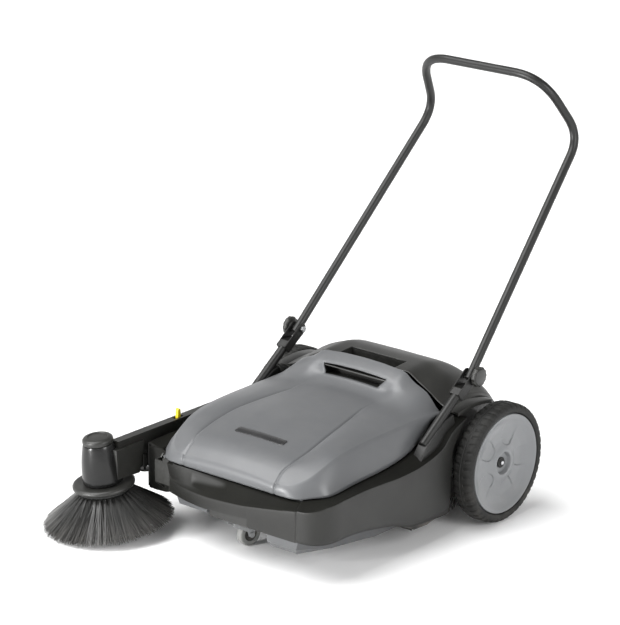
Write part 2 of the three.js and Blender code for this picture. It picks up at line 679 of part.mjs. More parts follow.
// Belt inside the arm: flat round the countershaft pulley, then a quarter turn to the brush.
function armBelt() {
  const sideways = new THREE.Vector3(1, 0, 0).addScaledVector(BRUSH_UP, -BRUSH_UP.x).normalize();
  const forward = new THREE.Vector3().crossVectors(BRUSH_UP, sideways).normalize();
  const onCounter = (a) => new THREE.Vector3(
    ARM_X, PIVOT_Y + ARM_PULLEY_R * Math.cos(a), PIVOT_Z + ARM_PULLEY_R * Math.sin(a));
  const onBrush = (a) => brushPulleyAt.clone()
    .addScaledVector(sideways, ARM_PULLEY_R * Math.cos(a))
    .addScaledVector(forward, -ARM_PULLEY_R * Math.sin(a));
  const section = shapeOf(circle(2, 8));
  const bend = (at, from, to) => {
    const angles = Array.from({ length: 9 }, (_, i) => from + ((to - from) * i) / 8);
    const path = new THREE.CatmullRomCurve3(angles.map(at));
    return solid(new THREE.ExtrudeGeometry(section, {
      steps: 12, bevelEnabled: false, extrudePath: path,
    }));
  };
  const run = (a, b) => {
    const along = b.clone().sub(a);
    const rod = new THREE.CylinderGeometry(2, 2, along.length() + 1, 8);
    const middle = a.clone().add(b).multiplyScalar(0.5);
    return placed(rod, turned(middle, along.normalize()));
  };
  const half = Math.PI / 2;
  return join(
    bend(onCounter, -half, half),
    run(onCounter(half), onBrush(Math.PI)),
    bend(onBrush, Math.PI, 0),
    run(onBrush(0), onCounter(-half)),
  );
}
add("arm_belt", armBelt(), "belt");

// ---- countershaft and its belt ----
add("arm_bracket", cut(
  join(
    rodX(27, -GUARD_X - 4.6, -GUARD_X - GAP, PIVOT_Y, PIVOT_Z, 20),
    rodX(13, -321.4, -GUARD_X - GAP, PIVOT_Y, PIVOT_Z),
  ),
  rodX(8.6, -330, -300, PIVOT_Y, PIVOT_Z),
), "frame");
add("counter_shaft", rodX(7, -339, -285, PIVOT_Y, PIVOT_Z, 20), "zinc");
add("counter_pulley_inner", pulley(BELT_X, PIVOT_Y, PIVOT_Z, COUNTER_PULLEY_R, 7.4, 24), "gear");
add("counter_pulley_outer", ring(
  [
    [7.4, -7], [17.5, -7], [17.5, -6], [11, -2.8], [11, 2.8], [17.5, 6], [17.5, 7], [7.4, 7],
  ],
  24, new THREE.Vector3(ARM_X, PIVOT_Y, PIVOT_Z), X_AXIS), "gear");

function driveBelt() {
  const middle = (BELT_X[0] + BELT_X[1]) / 2;
  const loop = (d) => {
    const wheels = [[0, AXLE_Z, DRIVE_PULLEY_R], [PIVOT_Y, PIVOT_Z, COUNTER_PULLEY_R]];
    return hull(wheels.flatMap(([y, z, r]) =>
      circle((r + d) / (d < 0 ? Math.cos(Math.PI / 40) : 1), 40).flatMap(([a, b]) => [
        [middle - 3 - (d < 0 ? 1 : 0), y + a, z + b],
        [middle + 3 + (d < 0 ? 1 : 0), y + a, z + b],
      ])));
  };
  return cut(loop(2), loop(-2));
}
add("drive_belt", driveBelt(), "belt");

// ---- latch lever and height stop on the arm ----
const LEVER_AT = [-437, 224];
add("latch_lever", join(
  acrossX([
    [LEVER_AT[0] - 5, 222], [LEVER_AT[0] + 5, 222], [LEVER_AT[0] + 6, 246],
    [LEVER_AT[0] + 4, 251], [LEVER_AT[0], 253], [LEVER_AT[0] - 3, 251], [LEVER_AT[0] - 4, 246],
  ], ARM_X - 4.6, ARM_X + 4.6),
), "lever");

const STOP_AT = [-322, -566]; // adjusting screw under the arm
function heightStop() {
  const shape = shapeOf([[-577, 141], [-553, 141], [-528, 174], [-577, 174]]);
  shape.holes = [new THREE.Path(circle(5.5, 12).map(([a, b]) =>
    new THREE.Vector2(a - 553, b + 158)))];
  return cut(
    join(extruded(shape, -317.6, -314.6, ALONG_X), box([-330, -315], [-576, -556], [141, 144])),
    rodZ(3.5, 130, 150, ...STOP_AT, 12),
  );
}
add("height_stop", heightStop(), "frame");
add("stop_screw", join(
  rodZ(3, 134, 147, ...STOP_AT, 12),
  rodZ(15, 130, 134.5, ...STOP_AT, 20),
), "frame");

// ---- handle ----
// A path of straight runs with rounded corners.
function roundedPath(points, radii) {
  const path = new THREE.CurvePath();
  let at = points[0];
  for (let i = 1; i < points.length - 1; i++) {
    const back = at.clone().sub(points[i]).normalize();
    const on = points[i + 1].clone().sub(points[i]).normalize();
    const cutBack = radii[i - 1];
    const start = points[i].clone().addScaledVector(back, cutBack);
    const end = points[i].clone().addScaledVector(on, cutBack);
    path.add(new THREE.LineCurve3(at, start));
    path.add(new THREE.QuadraticBezierCurve3(start, points[i], end));
    at = end;
  }
  path.add(new THREE.LineCurve3(at, points[points.length - 1]));
  return path;
}

const KNEE = [231, 440, 867];
const GRIP = [189, 334, 1029];
const legLine = new THREE.Vector3(...KNEE).sub(new THREE.Vector3(...CLAMP)).normalize();
function handleTube() {
  const leftFoot = new THREE.Vector3(...CLAMP).addScaledVector(legLine, -13);
  const half = [leftFoot, new THREE.Vector3(...KNEE), new THREE.Vector3(...GRIP)];
  const flip = (p) => new THREE.Vector3(-p.x, p.y, p.z);
  const path = roundedPath([...half, ...half.map(flip).reverse()], [60, 85, 85, 60]);
  const section = shapeOf(circle(TUBE_R, 8));
  section.holes = [new THREE.Path(circle(TUBE_R - TUBE_WALL, 6).map(([a, b]) =>
    new THREE.Vector2(a, b)))];
  const tube = solid(new THREE.ExtrudeGeometry(section, {
    steps: 72, bevelEnabled: false, extrudePath: path,
  }));
  const hole = rodX(4.6, 255, 300, CLAMP[1], CLAMP[2], 12);
  return cut(tube, hole, mirrored(hole));
}
add("handle_tube", handleTube(), "tube");

function handleStrut() {
  const upper = new THREE.Vector3(CLAMP[0], -103, 336);
  const lower = new THREE.Vector3(CLAMP[0], -254, 228);
  const along = upper.clone().sub(lower);
  const rod = new THREE.CylinderGeometry(11.5, 11.5, along.length(), 16);
  const stick = placed(rod, turned(upper.clone().add(lower).multiplyScalar(0.5),
    along.clone().normalize()));
  const knob = [CLAMP[1], CLAMP[2]];
  const rounded = circle(15, 20).map(([a, b]) => [knob[0] + a, knob[1] + b]);
  const cheek = (x0, x1) => hull(
    [...rounded, [-98, 355], [-86, 333], [-113, 345], [-104, 320]].flatMap(([y, z]) =>
      [[x0, y, z], [x1, y, z]]));
  const sides = [
    cheek(CLAMP[0] - 15.2, CLAMP[0] - 12.2),
    cheek(CLAMP[0] + 12.2, CLAMP[0] + 15.2),
  ];
  const block = acrossX([[-90, 348], [-84, 337], [-104, 320], [-116, 341]],
    CLAMP[0] - 13, CLAMP[0] + 13);
  const foot = box([CLAMP[0] - 7, CLAMP[0] + 7], [-264, -246], [208.4, 232]);
  const bore = rodX(4.6, 250, 300, ...knob, 12);
  return cut(join(stick, ...sides, block, foot), bore);
}
addPair("handle_strut", handleStrut(), "frame");

const clampBolt = join(
  rodX(4, CLAMP[0] - 16, CLAMP[0] + 26, CLAMP[1], CLAMP[2], 12),
  rodX(8.5, CLAMP[0] - 21.4, CLAMP[0] - 15.6, CLAMP[1], CLAMP[2], 6),
);
addPair("clamp_bolt", clampBolt, "zinc");

// Star grip: six round lobes.
function clampKnob() {
  const points = Array.from({ length: 48 }, (_, i) => {
    const a = (2 * Math.PI * i) / 48;
    const r = 22 + 2 * Math.cos(6 * a);
    return [CLAMP[1] + r * Math.cos(a), CLAMP[2] + r * Math.sin(a)];
  });
  const grip = acrossX(points, CLAMP[0] + 17, CLAMP[0] + 34);
  const neck = rodX(13, CLAMP[0] + 15.8, CLAMP[0] + 18, CLAMP[1], CLAMP[2]);
  return cut(join(grip, neck), rodX(4.5, CLAMP[0] + 10, CLAMP[0] + 28, CLAMP[1], CLAMP[2], 12));
}
addPair("clamp_knob", clampKnob(), "frame");
addPair("knob_cap", rodX(13, CLAMP[0] + 34.4, CLAMP[0] + 36.4, CLAMP[1], CLAMP[2]), "rim");

// ---- the part's own origin: floor level, middle of its plan ----
const bounds = new THREE.Box3().setFromObject(machine);
machine.position.set(
  -(bounds.min.x + bounds.max.x) / 2,
  -(bounds.min.y + bounds.max.y) / 2,
  -bounds.min.z,
);
const sweeper = new THREE.Group();
sweeper.add(machine);
export default sweeper;
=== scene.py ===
"""Finished looks of a walk-behind sweeper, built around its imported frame."""

import json
import random
from math import atan2, cos, exp, pi, radians, sin, sqrt

import bmesh
import bpy
import numpy as np
from mathutils import Matrix, Vector


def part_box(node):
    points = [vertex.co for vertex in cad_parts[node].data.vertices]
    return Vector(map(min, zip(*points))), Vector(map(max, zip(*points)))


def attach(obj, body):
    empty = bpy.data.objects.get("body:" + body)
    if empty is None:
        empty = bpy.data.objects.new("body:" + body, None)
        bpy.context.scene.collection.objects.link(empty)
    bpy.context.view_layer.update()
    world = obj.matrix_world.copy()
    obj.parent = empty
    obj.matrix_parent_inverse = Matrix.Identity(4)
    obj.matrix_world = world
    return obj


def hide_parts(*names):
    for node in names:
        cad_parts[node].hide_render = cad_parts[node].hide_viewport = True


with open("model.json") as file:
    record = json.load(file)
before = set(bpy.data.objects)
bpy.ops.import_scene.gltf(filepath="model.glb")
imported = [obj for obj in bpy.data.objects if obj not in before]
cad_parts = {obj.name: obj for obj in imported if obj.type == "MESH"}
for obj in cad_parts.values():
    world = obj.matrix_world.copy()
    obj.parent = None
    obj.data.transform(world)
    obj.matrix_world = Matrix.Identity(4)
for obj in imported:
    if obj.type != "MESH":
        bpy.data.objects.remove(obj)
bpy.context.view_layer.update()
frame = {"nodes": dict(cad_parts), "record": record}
SLOT_OF = {part["node"]: part["material_slot"] for part in frame["record"]["subparts"]}
BODY_OF = {
    node: body for body, nodes in frame["record"]["behaviour"]["bodies"].items() for node in nodes
}

# ---- the machine's own axes, in millimetres ----
# x runs from the middle plane to the machine's left, y back from the axle, z up from the floor.
MM = 0.001
LEFT_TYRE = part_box("tyre_left")
RIGHT_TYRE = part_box("tyre_right")
MIDDLE_X = (LEFT_TYRE[0].x + RIGHT_TYRE[1].x) / 2
AXLE_Y = (LEFT_TYRE[0].y + LEFT_TYRE[1].y) / 2


def at(x, y, z):
    return Vector((MIDDLE_X + x * MM, AXLE_Y + y * MM, z * MM))


# ---- materials ----
class Wiring:
    """Adds nodes to a tree and joins them."""

    def __init__(self, tree):
        self.tree = tree

    def node(self, kind, **settings):
        made = self.tree.nodes.new("ShaderNode" + kind)
        for key, value in settings.items():
            setattr(made, key, value)
        return made

    def join(self, source, target):
        self.tree.links.new(source, target)

    def put(self, value, target):
        """Sets a socket to a number or joins it to another socket."""
        if isinstance(value, bpy.types.NodeSocket):
            self.join(value, target)
        else:
            target.default_value = value

    def maths(self, operation, a, b, clamp=False):
        made = self.node("Math", operation=operation, use_clamp=clamp)
        self.put(a, made.inputs[0])
        self.put(b, made.inputs[1])
        return made.outputs[0]

    def spread(self, value, low, high, to_low=0.0, to_high=1.0):
        """Maps low..high onto to_low..to_high, with soft ends."""
        made = self.node("MapRange", interpolation_type="SMOOTHSTEP")
        self.put(value, made.inputs["Value"])
        for label, number in (("From Min", low), ("From Max", high),
                              ("To Min", to_low), ("To Max", to_high)):
            self.put(number, made.inputs[label])
        return made.outputs["Result"]

    def noise(self, scale, detail, roughness, vector):
        made = self.node("TexNoise")
        for label, value in (("Scale", scale), ("Detail", detail), ("Roughness", roughness),
                             ("Vector", vector)):
            self.put(value, made.inputs[label])
        return made.outputs["Fac"]

    def position(self):
        return self.node("TexCoord").outputs["Object"]

    def upward_part(self, vector):
        """The z of a vector."""
        made = self.node("SeparateXYZ")
        self.join(vector, made.inputs[0])
        return made.outputs["Z"]

    def facing_up(self):
        """The z of the surface's direction: 1 where it faces straight up."""
        return self.upward_part(self.node("NewGeometry").outputs["Normal"])

    def stretched(self, vector, sizes):
        made = self.node("Mapping")
        self.join(vector, made.inputs["Vector"])
        made.inputs["Scale"].default_value = sizes
        return made.outputs["Vector"]

    def tint(self, factor, first, second):
        made = self.node("Mix", data_type="RGBA")
        mix_socket, first_socket, second_socket, result = 0, 6, 7, 2  # of a colour mix
        self.put(factor, made.inputs[mix_socket])
        self.put(first, made.inputs[first_socket])
        self.put(second, made.inputs[second_socket])
        return made.outputs[result]


def group(name, inputs, outputs):
    """A new node group with number inputs and outputs: its wiring, and both ends' sockets."""
    made = bpy.data.node_groups.new(name, "ShaderNodeTree")
    for label, value in inputs.items():
        socket = made.interface.new_socket(label, in_out="INPUT", socket_type="NodeSocketFloat")
        socket.default_value = value
    for label in outputs:
        made.interface.new_socket(label, in_out="OUTPUT", socket_type="NodeSocketFloat")
    given, out = made.nodes.new("NodeGroupInput"), made.nodes.new("NodeGroupOutput")
    return made, Wiring(made), given.outputs, out.inputs


def moulded_grain():
    """Fine spark-eroded grain, and slow mottling, of a moulded skin."""
    made, w, given, out = group("moulded_grain", {"Scale": 900.0, "Mottle Scale": 9.0},
                                ["Height", "Mottle"])
    where = w.position()
    fine = w.noise(given["Scale"], 2.0, 0.6, where)
    cells = w.node("TexVoronoi")
    w.join(where, cells.inputs["Vector"])
    w.join(given["Scale"], cells.inputs["Scale"])
    w.join(w.maths("ADD", w.maths("MULTIPLY", cells.outputs["Distance"], 0.5), fine), out["Height"])
    w.join(w.spread(w.noise(given["Mottle Scale"], 4.0, 0.55, where), 0.3, 0.7), out["Mottle"])
    return made


def edge_wear():
    """Where a raised edge has been rubbed, broken up by noise."""
    made, w, given, out = group("edge_wear", {"Reach": 0.54, "Breakup": 60.0}, ["Mask"])
    raised = w.node("NewGeometry").outputs["Pointiness"]
    edge = w.spread(raised, given["Reach"], w.maths("ADD", given["Reach"], 0.08))
    broken = w.spread(w.noise(given["Breakup"], 5.0, 0.65, w.position()), 0.42, 0.62)
    w.join(w.maths("MULTIPLY", edge, broken), out["Mask"])
    return made


def settled_dust():
    """Fine dust: most near the floor and on what faces up."""
    made, w, given, out = group("settled_dust", {"Top": 0.12, "Cling": 0.25}, ["Mask"])
    where = w.position()
    low = w.spread(w.upward_part(where), 0.0, given["Top"], 1.0, 0.0)
    upward = w.maths("MULTIPLY", w.spread(w.facing_up(), 0.2, 1.0), given["Cling"])
    patches = w.spread(w.noise(26.0, 6.0, 0.6, where), 0.35, 0.75)
    w.join(w.maths("MULTIPLY", w.maths("MAXIMUM", low, upward), patches, True), out["Mask"])
    return made


def hair_scratches():
    """Thin scuffs from handling, in two directions."""
    made, w, given, out = group("hair_scratches", {"Density": 0.5}, ["Mask"])
    where = w.position()
    lines = [
        w.noise(14.0, 3.0, 0.7, w.stretched(where, sizes))
        for sizes in ((1.0, 38.0, 6.0), (30.0, 1.5, 8.0))
    ]
    both = w.maths("MAXIMUM", *lines)
    reach = w.maths("SUBTRACT", 0.86, w.maths("MULTIPLY", given["Density"], 0.12))
    w.join(w.spread(both, reach, w.maths("ADD", reach, 0.04)), out["Mask"])
    return made


GRAIN = moulded_grain()
WEAR = edge_wear()
DUST = settled_dust()
SCRATCHES = hair_scratches()
DUST_COLOUR = (0.30, 0.28, 0.25, 1)


def used(w, tree_group, **values):
    """A node group placed in a material with its own values."""
    made = w.node("Group", node_tree=tree_group)
    for label, value in values.items():
        made.inputs[label.replace("_", " ")].default_value = value
    return made.outputs


def new_material(name):
    made = bpy.data.materials.new(name)
    made.use_nodes = True
    tree = made.node_tree
    shader = tree.nodes["Principled BSDF"]
    return made, Wiring(tree), shader


def bumped(w, height, depth, shader):
    """Depth is in millimetres."""
    bump = w.node("Bump")
    bump.inputs["Distance"].default_value = depth * MM
    w.join(height, bump.inputs["Height"])
    w.join(bump.outputs["Normal"], shader.inputs["Normal"])


def plastic(name, colour, shade, rough, grain, depth, dust, worn, sheen, dust_top=0.12,
            painted_shade_top_sheen=None):
    """Moulded plastic, rubber or paint: colour varies to shade, and its edges wear paler.

    depth is the grain's, in millimetres. dust_top is how high dust from the floor reaches, in
    metres. The last argument, when given, is the reflection on faces that look up, lower than
    sheen: painted shade on the tops.
    """
    made, w, shader = new_material(name)
    skin = used(w, GRAIN, Scale=grain)
    base = w.tint(skin["Mottle"], (*colour, 1), (*shade, 1))
    rubbed = w.maths("MULTIPLY", used(w, WEAR)["Mask"], worn)
    pale = tuple(min(1.0, c * 1.5 + 0.03) for c in colour)
    base = w.tint(rubbed, base, (*pale, 1))
    scuffs = used(w, SCRATCHES)["Mask"]
    base = w.tint(w.maths("MULTIPLY", scuffs, 0.18), base, (*pale, 1))
    dusty = w.maths("MULTIPLY", used(w, DUST, Top=dust_top)["Mask"], dust)
    base = w.tint(dusty, base, DUST_COLOUR)
    w.join(base, shader.inputs["Base Color"])
    roughness = w.maths("ADD", rough, w.maths("MULTIPLY", skin["Mottle"], 0.06))
    roughness = w.maths("ADD", roughness, w.maths("MULTIPLY", scuffs, 0.12))
    w.join(w.maths("ADD", roughness, w.maths("MULTIPLY", dusty, 0.4), True),
           shader.inputs["Roughness"])
    # Where a top reflection is given, faces that look up reflect less: painted shade on the tops.
    if painted_shade_top_sheen is None:
        shader.inputs["Specular IOR Level"].default_value = sheen
    else:
        w.join(w.spread(w.facing_up(), 0.1, 0.55, sheen, painted_shade_top_sheen),
               shader.inputs["Specular IOR Level"])
    bumped(w, skin["Height"], depth, shader)
    return made


def metal(name, colour, shade, rough, streaks):
    """Plated steel: drawn along one direction, with duller patches."""
    made, w, shader = new_material(name)
    where = w.position()
    drawn = w.noise(60.0, 4.0, 0.7, w.stretched(where, streaks))
    skin = used(w, GRAIN, Scale=400.0, Mottle_Scale=40.0)
    base = w.tint(skin["Mottle"], (*colour, 1), (*shade, 1))
    dusty = w.maths("MULTIPLY", used(w, DUST)["Mask"], 0.4)
    w.join(w.tint(dusty, base, DUST_COLOUR), shader.inputs["Base Color"])
    shader.inputs["Metallic"].default_value = 1.0
    w.join(w.maths("ADD", rough, w.maths("MULTIPLY", drawn, 0.2), True),
           shader.inputs["Roughness"])
    bumped(w, drawn, 0.02, shader)
    return made


def strands(name, root, tip, rough):
    """Bristles: each a little different, and dustier towards its tip."""
    made, w, shader = new_material(name)
    own = w.node("Attribute", attribute_name="strand").outputs["Fac"]
    along = w.node("Attribute", attribute_name="along").outputs["Fac"]
    grime = w.maths("MULTIPLY", w.spread(along, 0.35, 1.0), w.spread(own, 0.2, 0.9))
    w.join(w.tint(grime, (*root, 1), (*tip, 1)), shader.inputs["Base Color"])
    w.join(w.maths("ADD", rough, w.maths("MULTIPLY", own, 0.2)), shader.inputs["Roughness"])
    bumped(w, w.noise(500.0, 2.0, 0.5, w.position()), 0.05, shader)
    return made


# colour, second colour, roughness, grain's scale and depth, dust, wear, reflection
PLASTICS = {
    "hood_grey": ((0.104, 0.107, 0.111), (0.098, 0.101, 0.105), 0.34, 700, 0.012, 0.12, 0.15, 0.5),
    "rim_grey": ((0.180, 0.185, 0.191), (0.168, 0.173, 0.179), 0.28, 800, 0.02, 0.2, 0.2, 0.5),
    "frame_black": ((0.0145, 0.0145, 0.0125), (0.012, 0.012, 0.0105), 0.40, 1000, 0.05, 0.07, 0.25, 0.6),
    # guard_black is a darker copy of frame_black, with less reflection on faces that look up: painted
    # shade on the guards, post and front moulding.
    "guard_black": ((0.0115, 0.0115, 0.010), (0.0095, 0.0095, 0.0085), 0.42, 1000, 0.05, 0.01, 0.2, 0.42),
    "tube_black": ((0.011, 0.011, 0.0105), (0.009, 0.009, 0.0085), 0.36, 1400, 0.03, 0.05, 0.3, 0.4),
    "tyre_rubber": ((0.010, 0.010, 0.0095), (0.013, 0.013, 0.012), 0.6, 600, 0.08, 0.12, 0.2, 0.3),
    "seal_rubber": ((0.020, 0.020, 0.020), (0.03, 0.029, 0.028), 0.7, 500, 0.1, 0.5, 0.2, 0.25),
    "belt_rubber": ((0.02, 0.02, 0.02), (0.032, 0.03, 0.028), 0.66, 500, 0.08, 0.35, 0.3, 0.3),
    "gear_nylon": ((0.55, 0.52, 0.45), (0.45, 0.42, 0.36), 0.4, 500, 0.02, 0.4, 0.2, 0.5),
    "lever_yellow": ((0.80, 0.62, 0.02), (0.72, 0.54, 0.015), 0.4, 900, 0.03, 0.15, 0.25, 0.5),
    "caster_grey": ((0.25, 0.255, 0.25), (0.20, 0.205, 0.20), 0.5, 600, 0.05, 0.4, 0.2, 0.5),
    "gloss_black": ((0.009, 0.009, 0.0085), (0.007, 0.007, 0.007), 0.2, 1200, 0.006, 0.08, 0.25, 0.38),
    "knob_face": ((0.035, 0.035, 0.033), (0.028, 0.028, 0.027), 0.35, 900, 0.02, 0.15, 0.3, 0.5),
    "badge_dark": ((0.016, 0.016, 0.017), (0.022, 0.022, 0.023), 0.25, 1500, 0.004, 0.1, 0.3, 0.5),
}
PLASTIC_EXTRAS = {
    "guard_black": {"painted_shade_top_sheen": 0.04},
    "tyre_rubber": {"dust_top": 0.2},
    "gear_nylon": {"dust_top": 0.3},
}
FINISHES = {
    name: plastic(name, *values, **PLASTIC_EXTRAS.get(name, {}))
    for name, values in PLASTICS.items()
}
FINISHES["zinc"] = metal("zinc", (0.62, 0.63, 0.64), (0.48, 0.49, 0.50), 0.22, (1.0, 14.0, 14.0))
FINISHES["bristle"] = strands("bristle", (0.020, 0.020, 0.019), (0.095, 0.092, 0.086), 0.32)


# ---- making pieces ----
def curve(points):
    """A smooth function through (position, value) points that never overshoots them."""
    xs, ys = (np.array(part, float) for part in zip(*points))
    steps = np.diff(xs)
    rates = np.diff(ys) / steps
    slopes = np.empty(len(xs))
    slopes[0], slopes[-1] = rates[0], rates[-1]
    for i in range(1, len(xs) - 1):
        a, b = rates[i - 1], rates[i]
        if a * b <= 0:
            slopes[i] = 0
        else:
            wide, near = 2 * steps[i] + steps[i - 1], steps[i] + 2 * steps[i - 1]
            slopes[i] = (wide + near) / (wide / a + near / b)

    def value(x):
        x = min(max(x, xs[0]), xs[-1])
        i = min(int(np.searchsorted(xs, x, side="right")) - 1, len(steps) - 1)
        t = (x - xs[i]) / steps[i]
        rise, step = t * t * (3 - 2 * t), steps[i]
        return float(
            ys[i] * (1 - rise) + ys[i + 1] * rise
            + step * (slopes[i] * t * (1 - t) ** 2 - slopes[i + 1] * t * t * (1 - t))
        )

    return value


def ease(low, high, x):
    t = min(max((x - low) / (high - low), 0.0), 1.0)
    return t * t * (3 - 2 * t)


def grid(rows, around=False, ends=False, keep=None):
    """Quads between rows of points. around joins each row's ends; ends closes the two outer rows."""
    count = len(rows[0])
    points = [p for row in rows for p in row]
    faces = []
    for i in range(len(rows) - 1):
        for j in range(count if around else count - 1):
            if keep is None or keep(i, j):
                k = (j + 1) % count
                faces.append((i * count + j, i * count + k, (i + 1) * count + k, (i + 1) * count + j))
    if ends:
        last = (len(rows) - 1) * count
        faces.append(tuple(reversed(range(count))))
        faces.append(tuple(range(last, last + count)))
    return points, faces


def together(*parts):
    points, faces = [], []
    for some, quads in parts:
        start = len(points)
        points.extend(some)
        faces.extend(tuple(i + start for i in f) for f in quads)
    return points, faces


def mirrored(part):
    points, faces = part
    return [(-x, y, z) for x, y, z in points], [tuple(reversed(f)) for f in faces]


def square_to(axis):
    """Two directions square to an axis."""
    axis = Vector(axis).normalized()
    side = axis.orthogonal().normalized() if abs(axis.x) < 0.9 else Vector((0, 1, 0))
    side = (side - axis * side.dot(axis)).normalized()
    return side, axis.cross(side)


def spun(profile, centre, axis, count, radius=None):
    """Turns a closed (radius, height) profile round an axis. radius(r, h, angle) may reshape it."""
    axis = Vector(axis).normalized()
    side, other = square_to(axis)
    rows = []
    for i in range(count):
        a = 2 * pi * i / count
        out = side * cos(a) + other * sin(a)
        row = []
        for r, h in profile:
            if radius:
                r, h = radius(r, h, a)
            row.append(tuple(Vector(centre) + out * r + axis * h))
        rows.append(row)
    rows.append(rows[0])
    return grid(rows, around=True)


def balanced(half):
    """A (radius, height) profile and its mirror image."""
    return half + [(r, -h) for r, h in reversed(half)]


def prism(outline, low, high, along="x"):
    """An outline of (y, z) pairs drawn out along x, or of (x, y) pairs along z."""
    rows = [[(t, *p) if along == "x" else (*p, t) for p in outline] for t in (low, high)]
    return grid(rows, around=True, ends=True)


def block(x, y, z):
    return prism([(x[0], y[0]), (x[1], y[0]), (x[1], y[1]), (x[0], y[1])], *z, along="z")


def tube(path, radius, count):
    """A round tube along a path of points, kept from twisting."""
    path = [Vector(p) for p in path]
    heading = (path[1] - path[0]).normalized()
    side, _ = square_to(heading)
    rows = []
    for i, p in enumerate(path):
        new = (path[min(i + 1, len(path) - 1)] - path[max(i - 1, 0)]).normalized()
        side = (side - new * side.dot(new)).normalized()
        other = new.cross(side)
        rows.append([
            tuple(p + (side * cos(a) + other * sin(a)) * radius)
            for a in (2 * pi * k / count for k in range(count))
        ])
    return grid(rows, around=True, ends=True)


def placed(name, data):
    """A new object in the scene."""
    obj = bpy.data.objects.new(name, data)
    bpy.context.scene.collection.objects.link(obj)
    return obj


def finished(name, mesh, finish, body, replaces=(), smooth=35, bevel=0.0, turns=2,
             sharper_than=30, wall=0.0):
    """A new object with rounded edges and a finish, on the body that it moves with."""
    obj = placed(name, mesh)
    for polygon in mesh.polygons:
        polygon.use_smooth = True
    mesh.set_sharp_from_angle(angle=radians(smooth))
    if wall:
        made = obj.modifiers.new("wall", "SOLIDIFY")
        made.thickness, made.offset = wall * MM, -1
    if bevel:
        made = obj.modifiers.new("rounding", "BEVEL")
        made.width, made.segments = bevel * MM, turns
        made.limit_method, made.angle_limit = "ANGLE", radians(sharper_than)
        made.miter_outer = "MITER_ARC"
        made.use_clamp_overlap = True
        even = obj.modifiers.new("even", "WEIGHTED_NORMAL")
        even.keep_sharp = True
    mesh.materials.clear()
    mesh.materials.append(FINISHES[finish])
    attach(obj, body)
    if replaces:
        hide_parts(*replaces)


def piece(name, part, finish, body, replaces=(), outward=True, **looks):
    """A modelled piece from points in the machine's millimetres."""
    points, faces = part
    mesh = bpy.data.meshes.new(name)
    mesh.from_pydata([at(*p) for p in points], [], faces)
    bm = bmesh.new()
    bm.from_mesh(mesh)
    bmesh.ops.remove_doubles(bm, verts=bm.verts, dist=0.02 * MM)
    bmesh.ops.dissolve_degenerate(bm, edges=bm.edges, dist=0.01 * MM)
    if outward:
        bmesh.ops.recalc_face_normals(bm, faces=bm.faces)
    bm.to_mesh(mesh)
    bm.free()
    finished(name, mesh, finish, body, replaces, **looks)


def softened(node, bevel, reshape=None, **looks):
    """A frame node's own shape with its edges rounded over, in place of the node."""
    mesh = frame["nodes"][node].data.copy()
    mesh.name = node + "_rounded"
    bm = bmesh.new()
    bm.from_mesh(mesh)
    if reshape:
        for vertex in bm.verts:
            vertex.co = at(*reshape(*((vertex.co - at(0, 0, 0)) / MM)))
    bmesh.ops.remove_doubles(bm, verts=bm.verts, dist=0.02 * MM)
    bmesh.ops.dissolve_limit(bm, angle_limit=radians(1.0), verts=bm.verts, edges=bm.edges)
    bm.to_mesh(mesh)
    bm.free()
    finished(mesh.name, mesh, SLOT_OF[node], BODY_OF[node], [node], bevel=bevel, **looks)


ON_CHASSIS = ("chassis", "chassis")
ON_WHEELS = ("wheel_left", "wheel_right")
ON_KNOBS = ("knob_left", "knob_right")


def both_sides(name, part, finish, bodies, replaces="", **looks):
    """name_left and its mirror image name_right, standing for replaces_left and replaces_right."""
    for side, body, shape in (("left", bodies[0], part), ("right", bodies[1], mirrored(part))):
        nodes = [f"{replaces}_{side}"] if replaces else []
        piece(f"{name}_{side}", shape, finish, body, nodes, **looks)


# ---- hood ----
CREASE_IN = curve([
    (-615, 228), (-594, 248), (-558, 266), (-529, 273), (-420, 295), (-271, 307), (-146, 315),
    (-118, 318),
])
CREASE_OUT = curve([
    (-615, 228), (-592, 236), (-560, 251), (-532, 264), (-500, 276), (-450, 285), (-400, 289),
    (-330, 291), (-200, 292), (-118, 290),
])
SHOULDER_X = curve([
    (-615, 150), (-611, 167), (-600, 188), (-584, 205), (-560, 217), (-532, 224), (-500, 228),
    (-450, 232), (-330, 235), (-118, 236),
])
HEM_X = curve([
    (-620, 160), (-618, 190), (-586, 232), (-553, 257), (-520, 261), (-400, 261), (-300, 258),
    (-223, 250), (-118, 243),
])
HEM_Z = curve([
    (-620, 201), (-540, 205), (-460, 211), (-380, 214), (-290, 222), (-232, 234), (-188, 256),
    (-160, 279), (-118, 288),
])
FOLD_X = curve([
    (-620, 143), (-591, 143), (-564, 149), (-513, 152), (-458, 149), (-400, 141), (-362, 134),
    (-300, 121), (-255, 112), (-118, 112),
])
BROW_RISE = curve([(0, 52), (118, 52), (130, 49), (159, 34), (197, 27), (236, 3), (260, 0)])
SLOT_RISE = curve([
    (-200, 0), (-180, 6), (-167, 13), (-153, 35), (-140, 43), (-119, 52),
])
SLOT_X, SLOT_SLANT = 100, 17  # half length of the hand slot, and how far its ends slant
SLOT_Y = (-167, -153)
HOOD_FRONT, HOOD_BACK = -615, -118
NEAR_SLOT = (0, 20, 40, 55, 68)  # columns of the hood's grid over the slot


def hood_fold(x, y):
    """Depth of the fold that runs from the front hem back to the hand slot."""
    from_fold = x - FOLD_X(y)
    width = 1.8 if from_fold < 0 else 4.5
    return 2.6 * exp(-((from_fold / width) ** 2)) * ease(-215, -330, y)


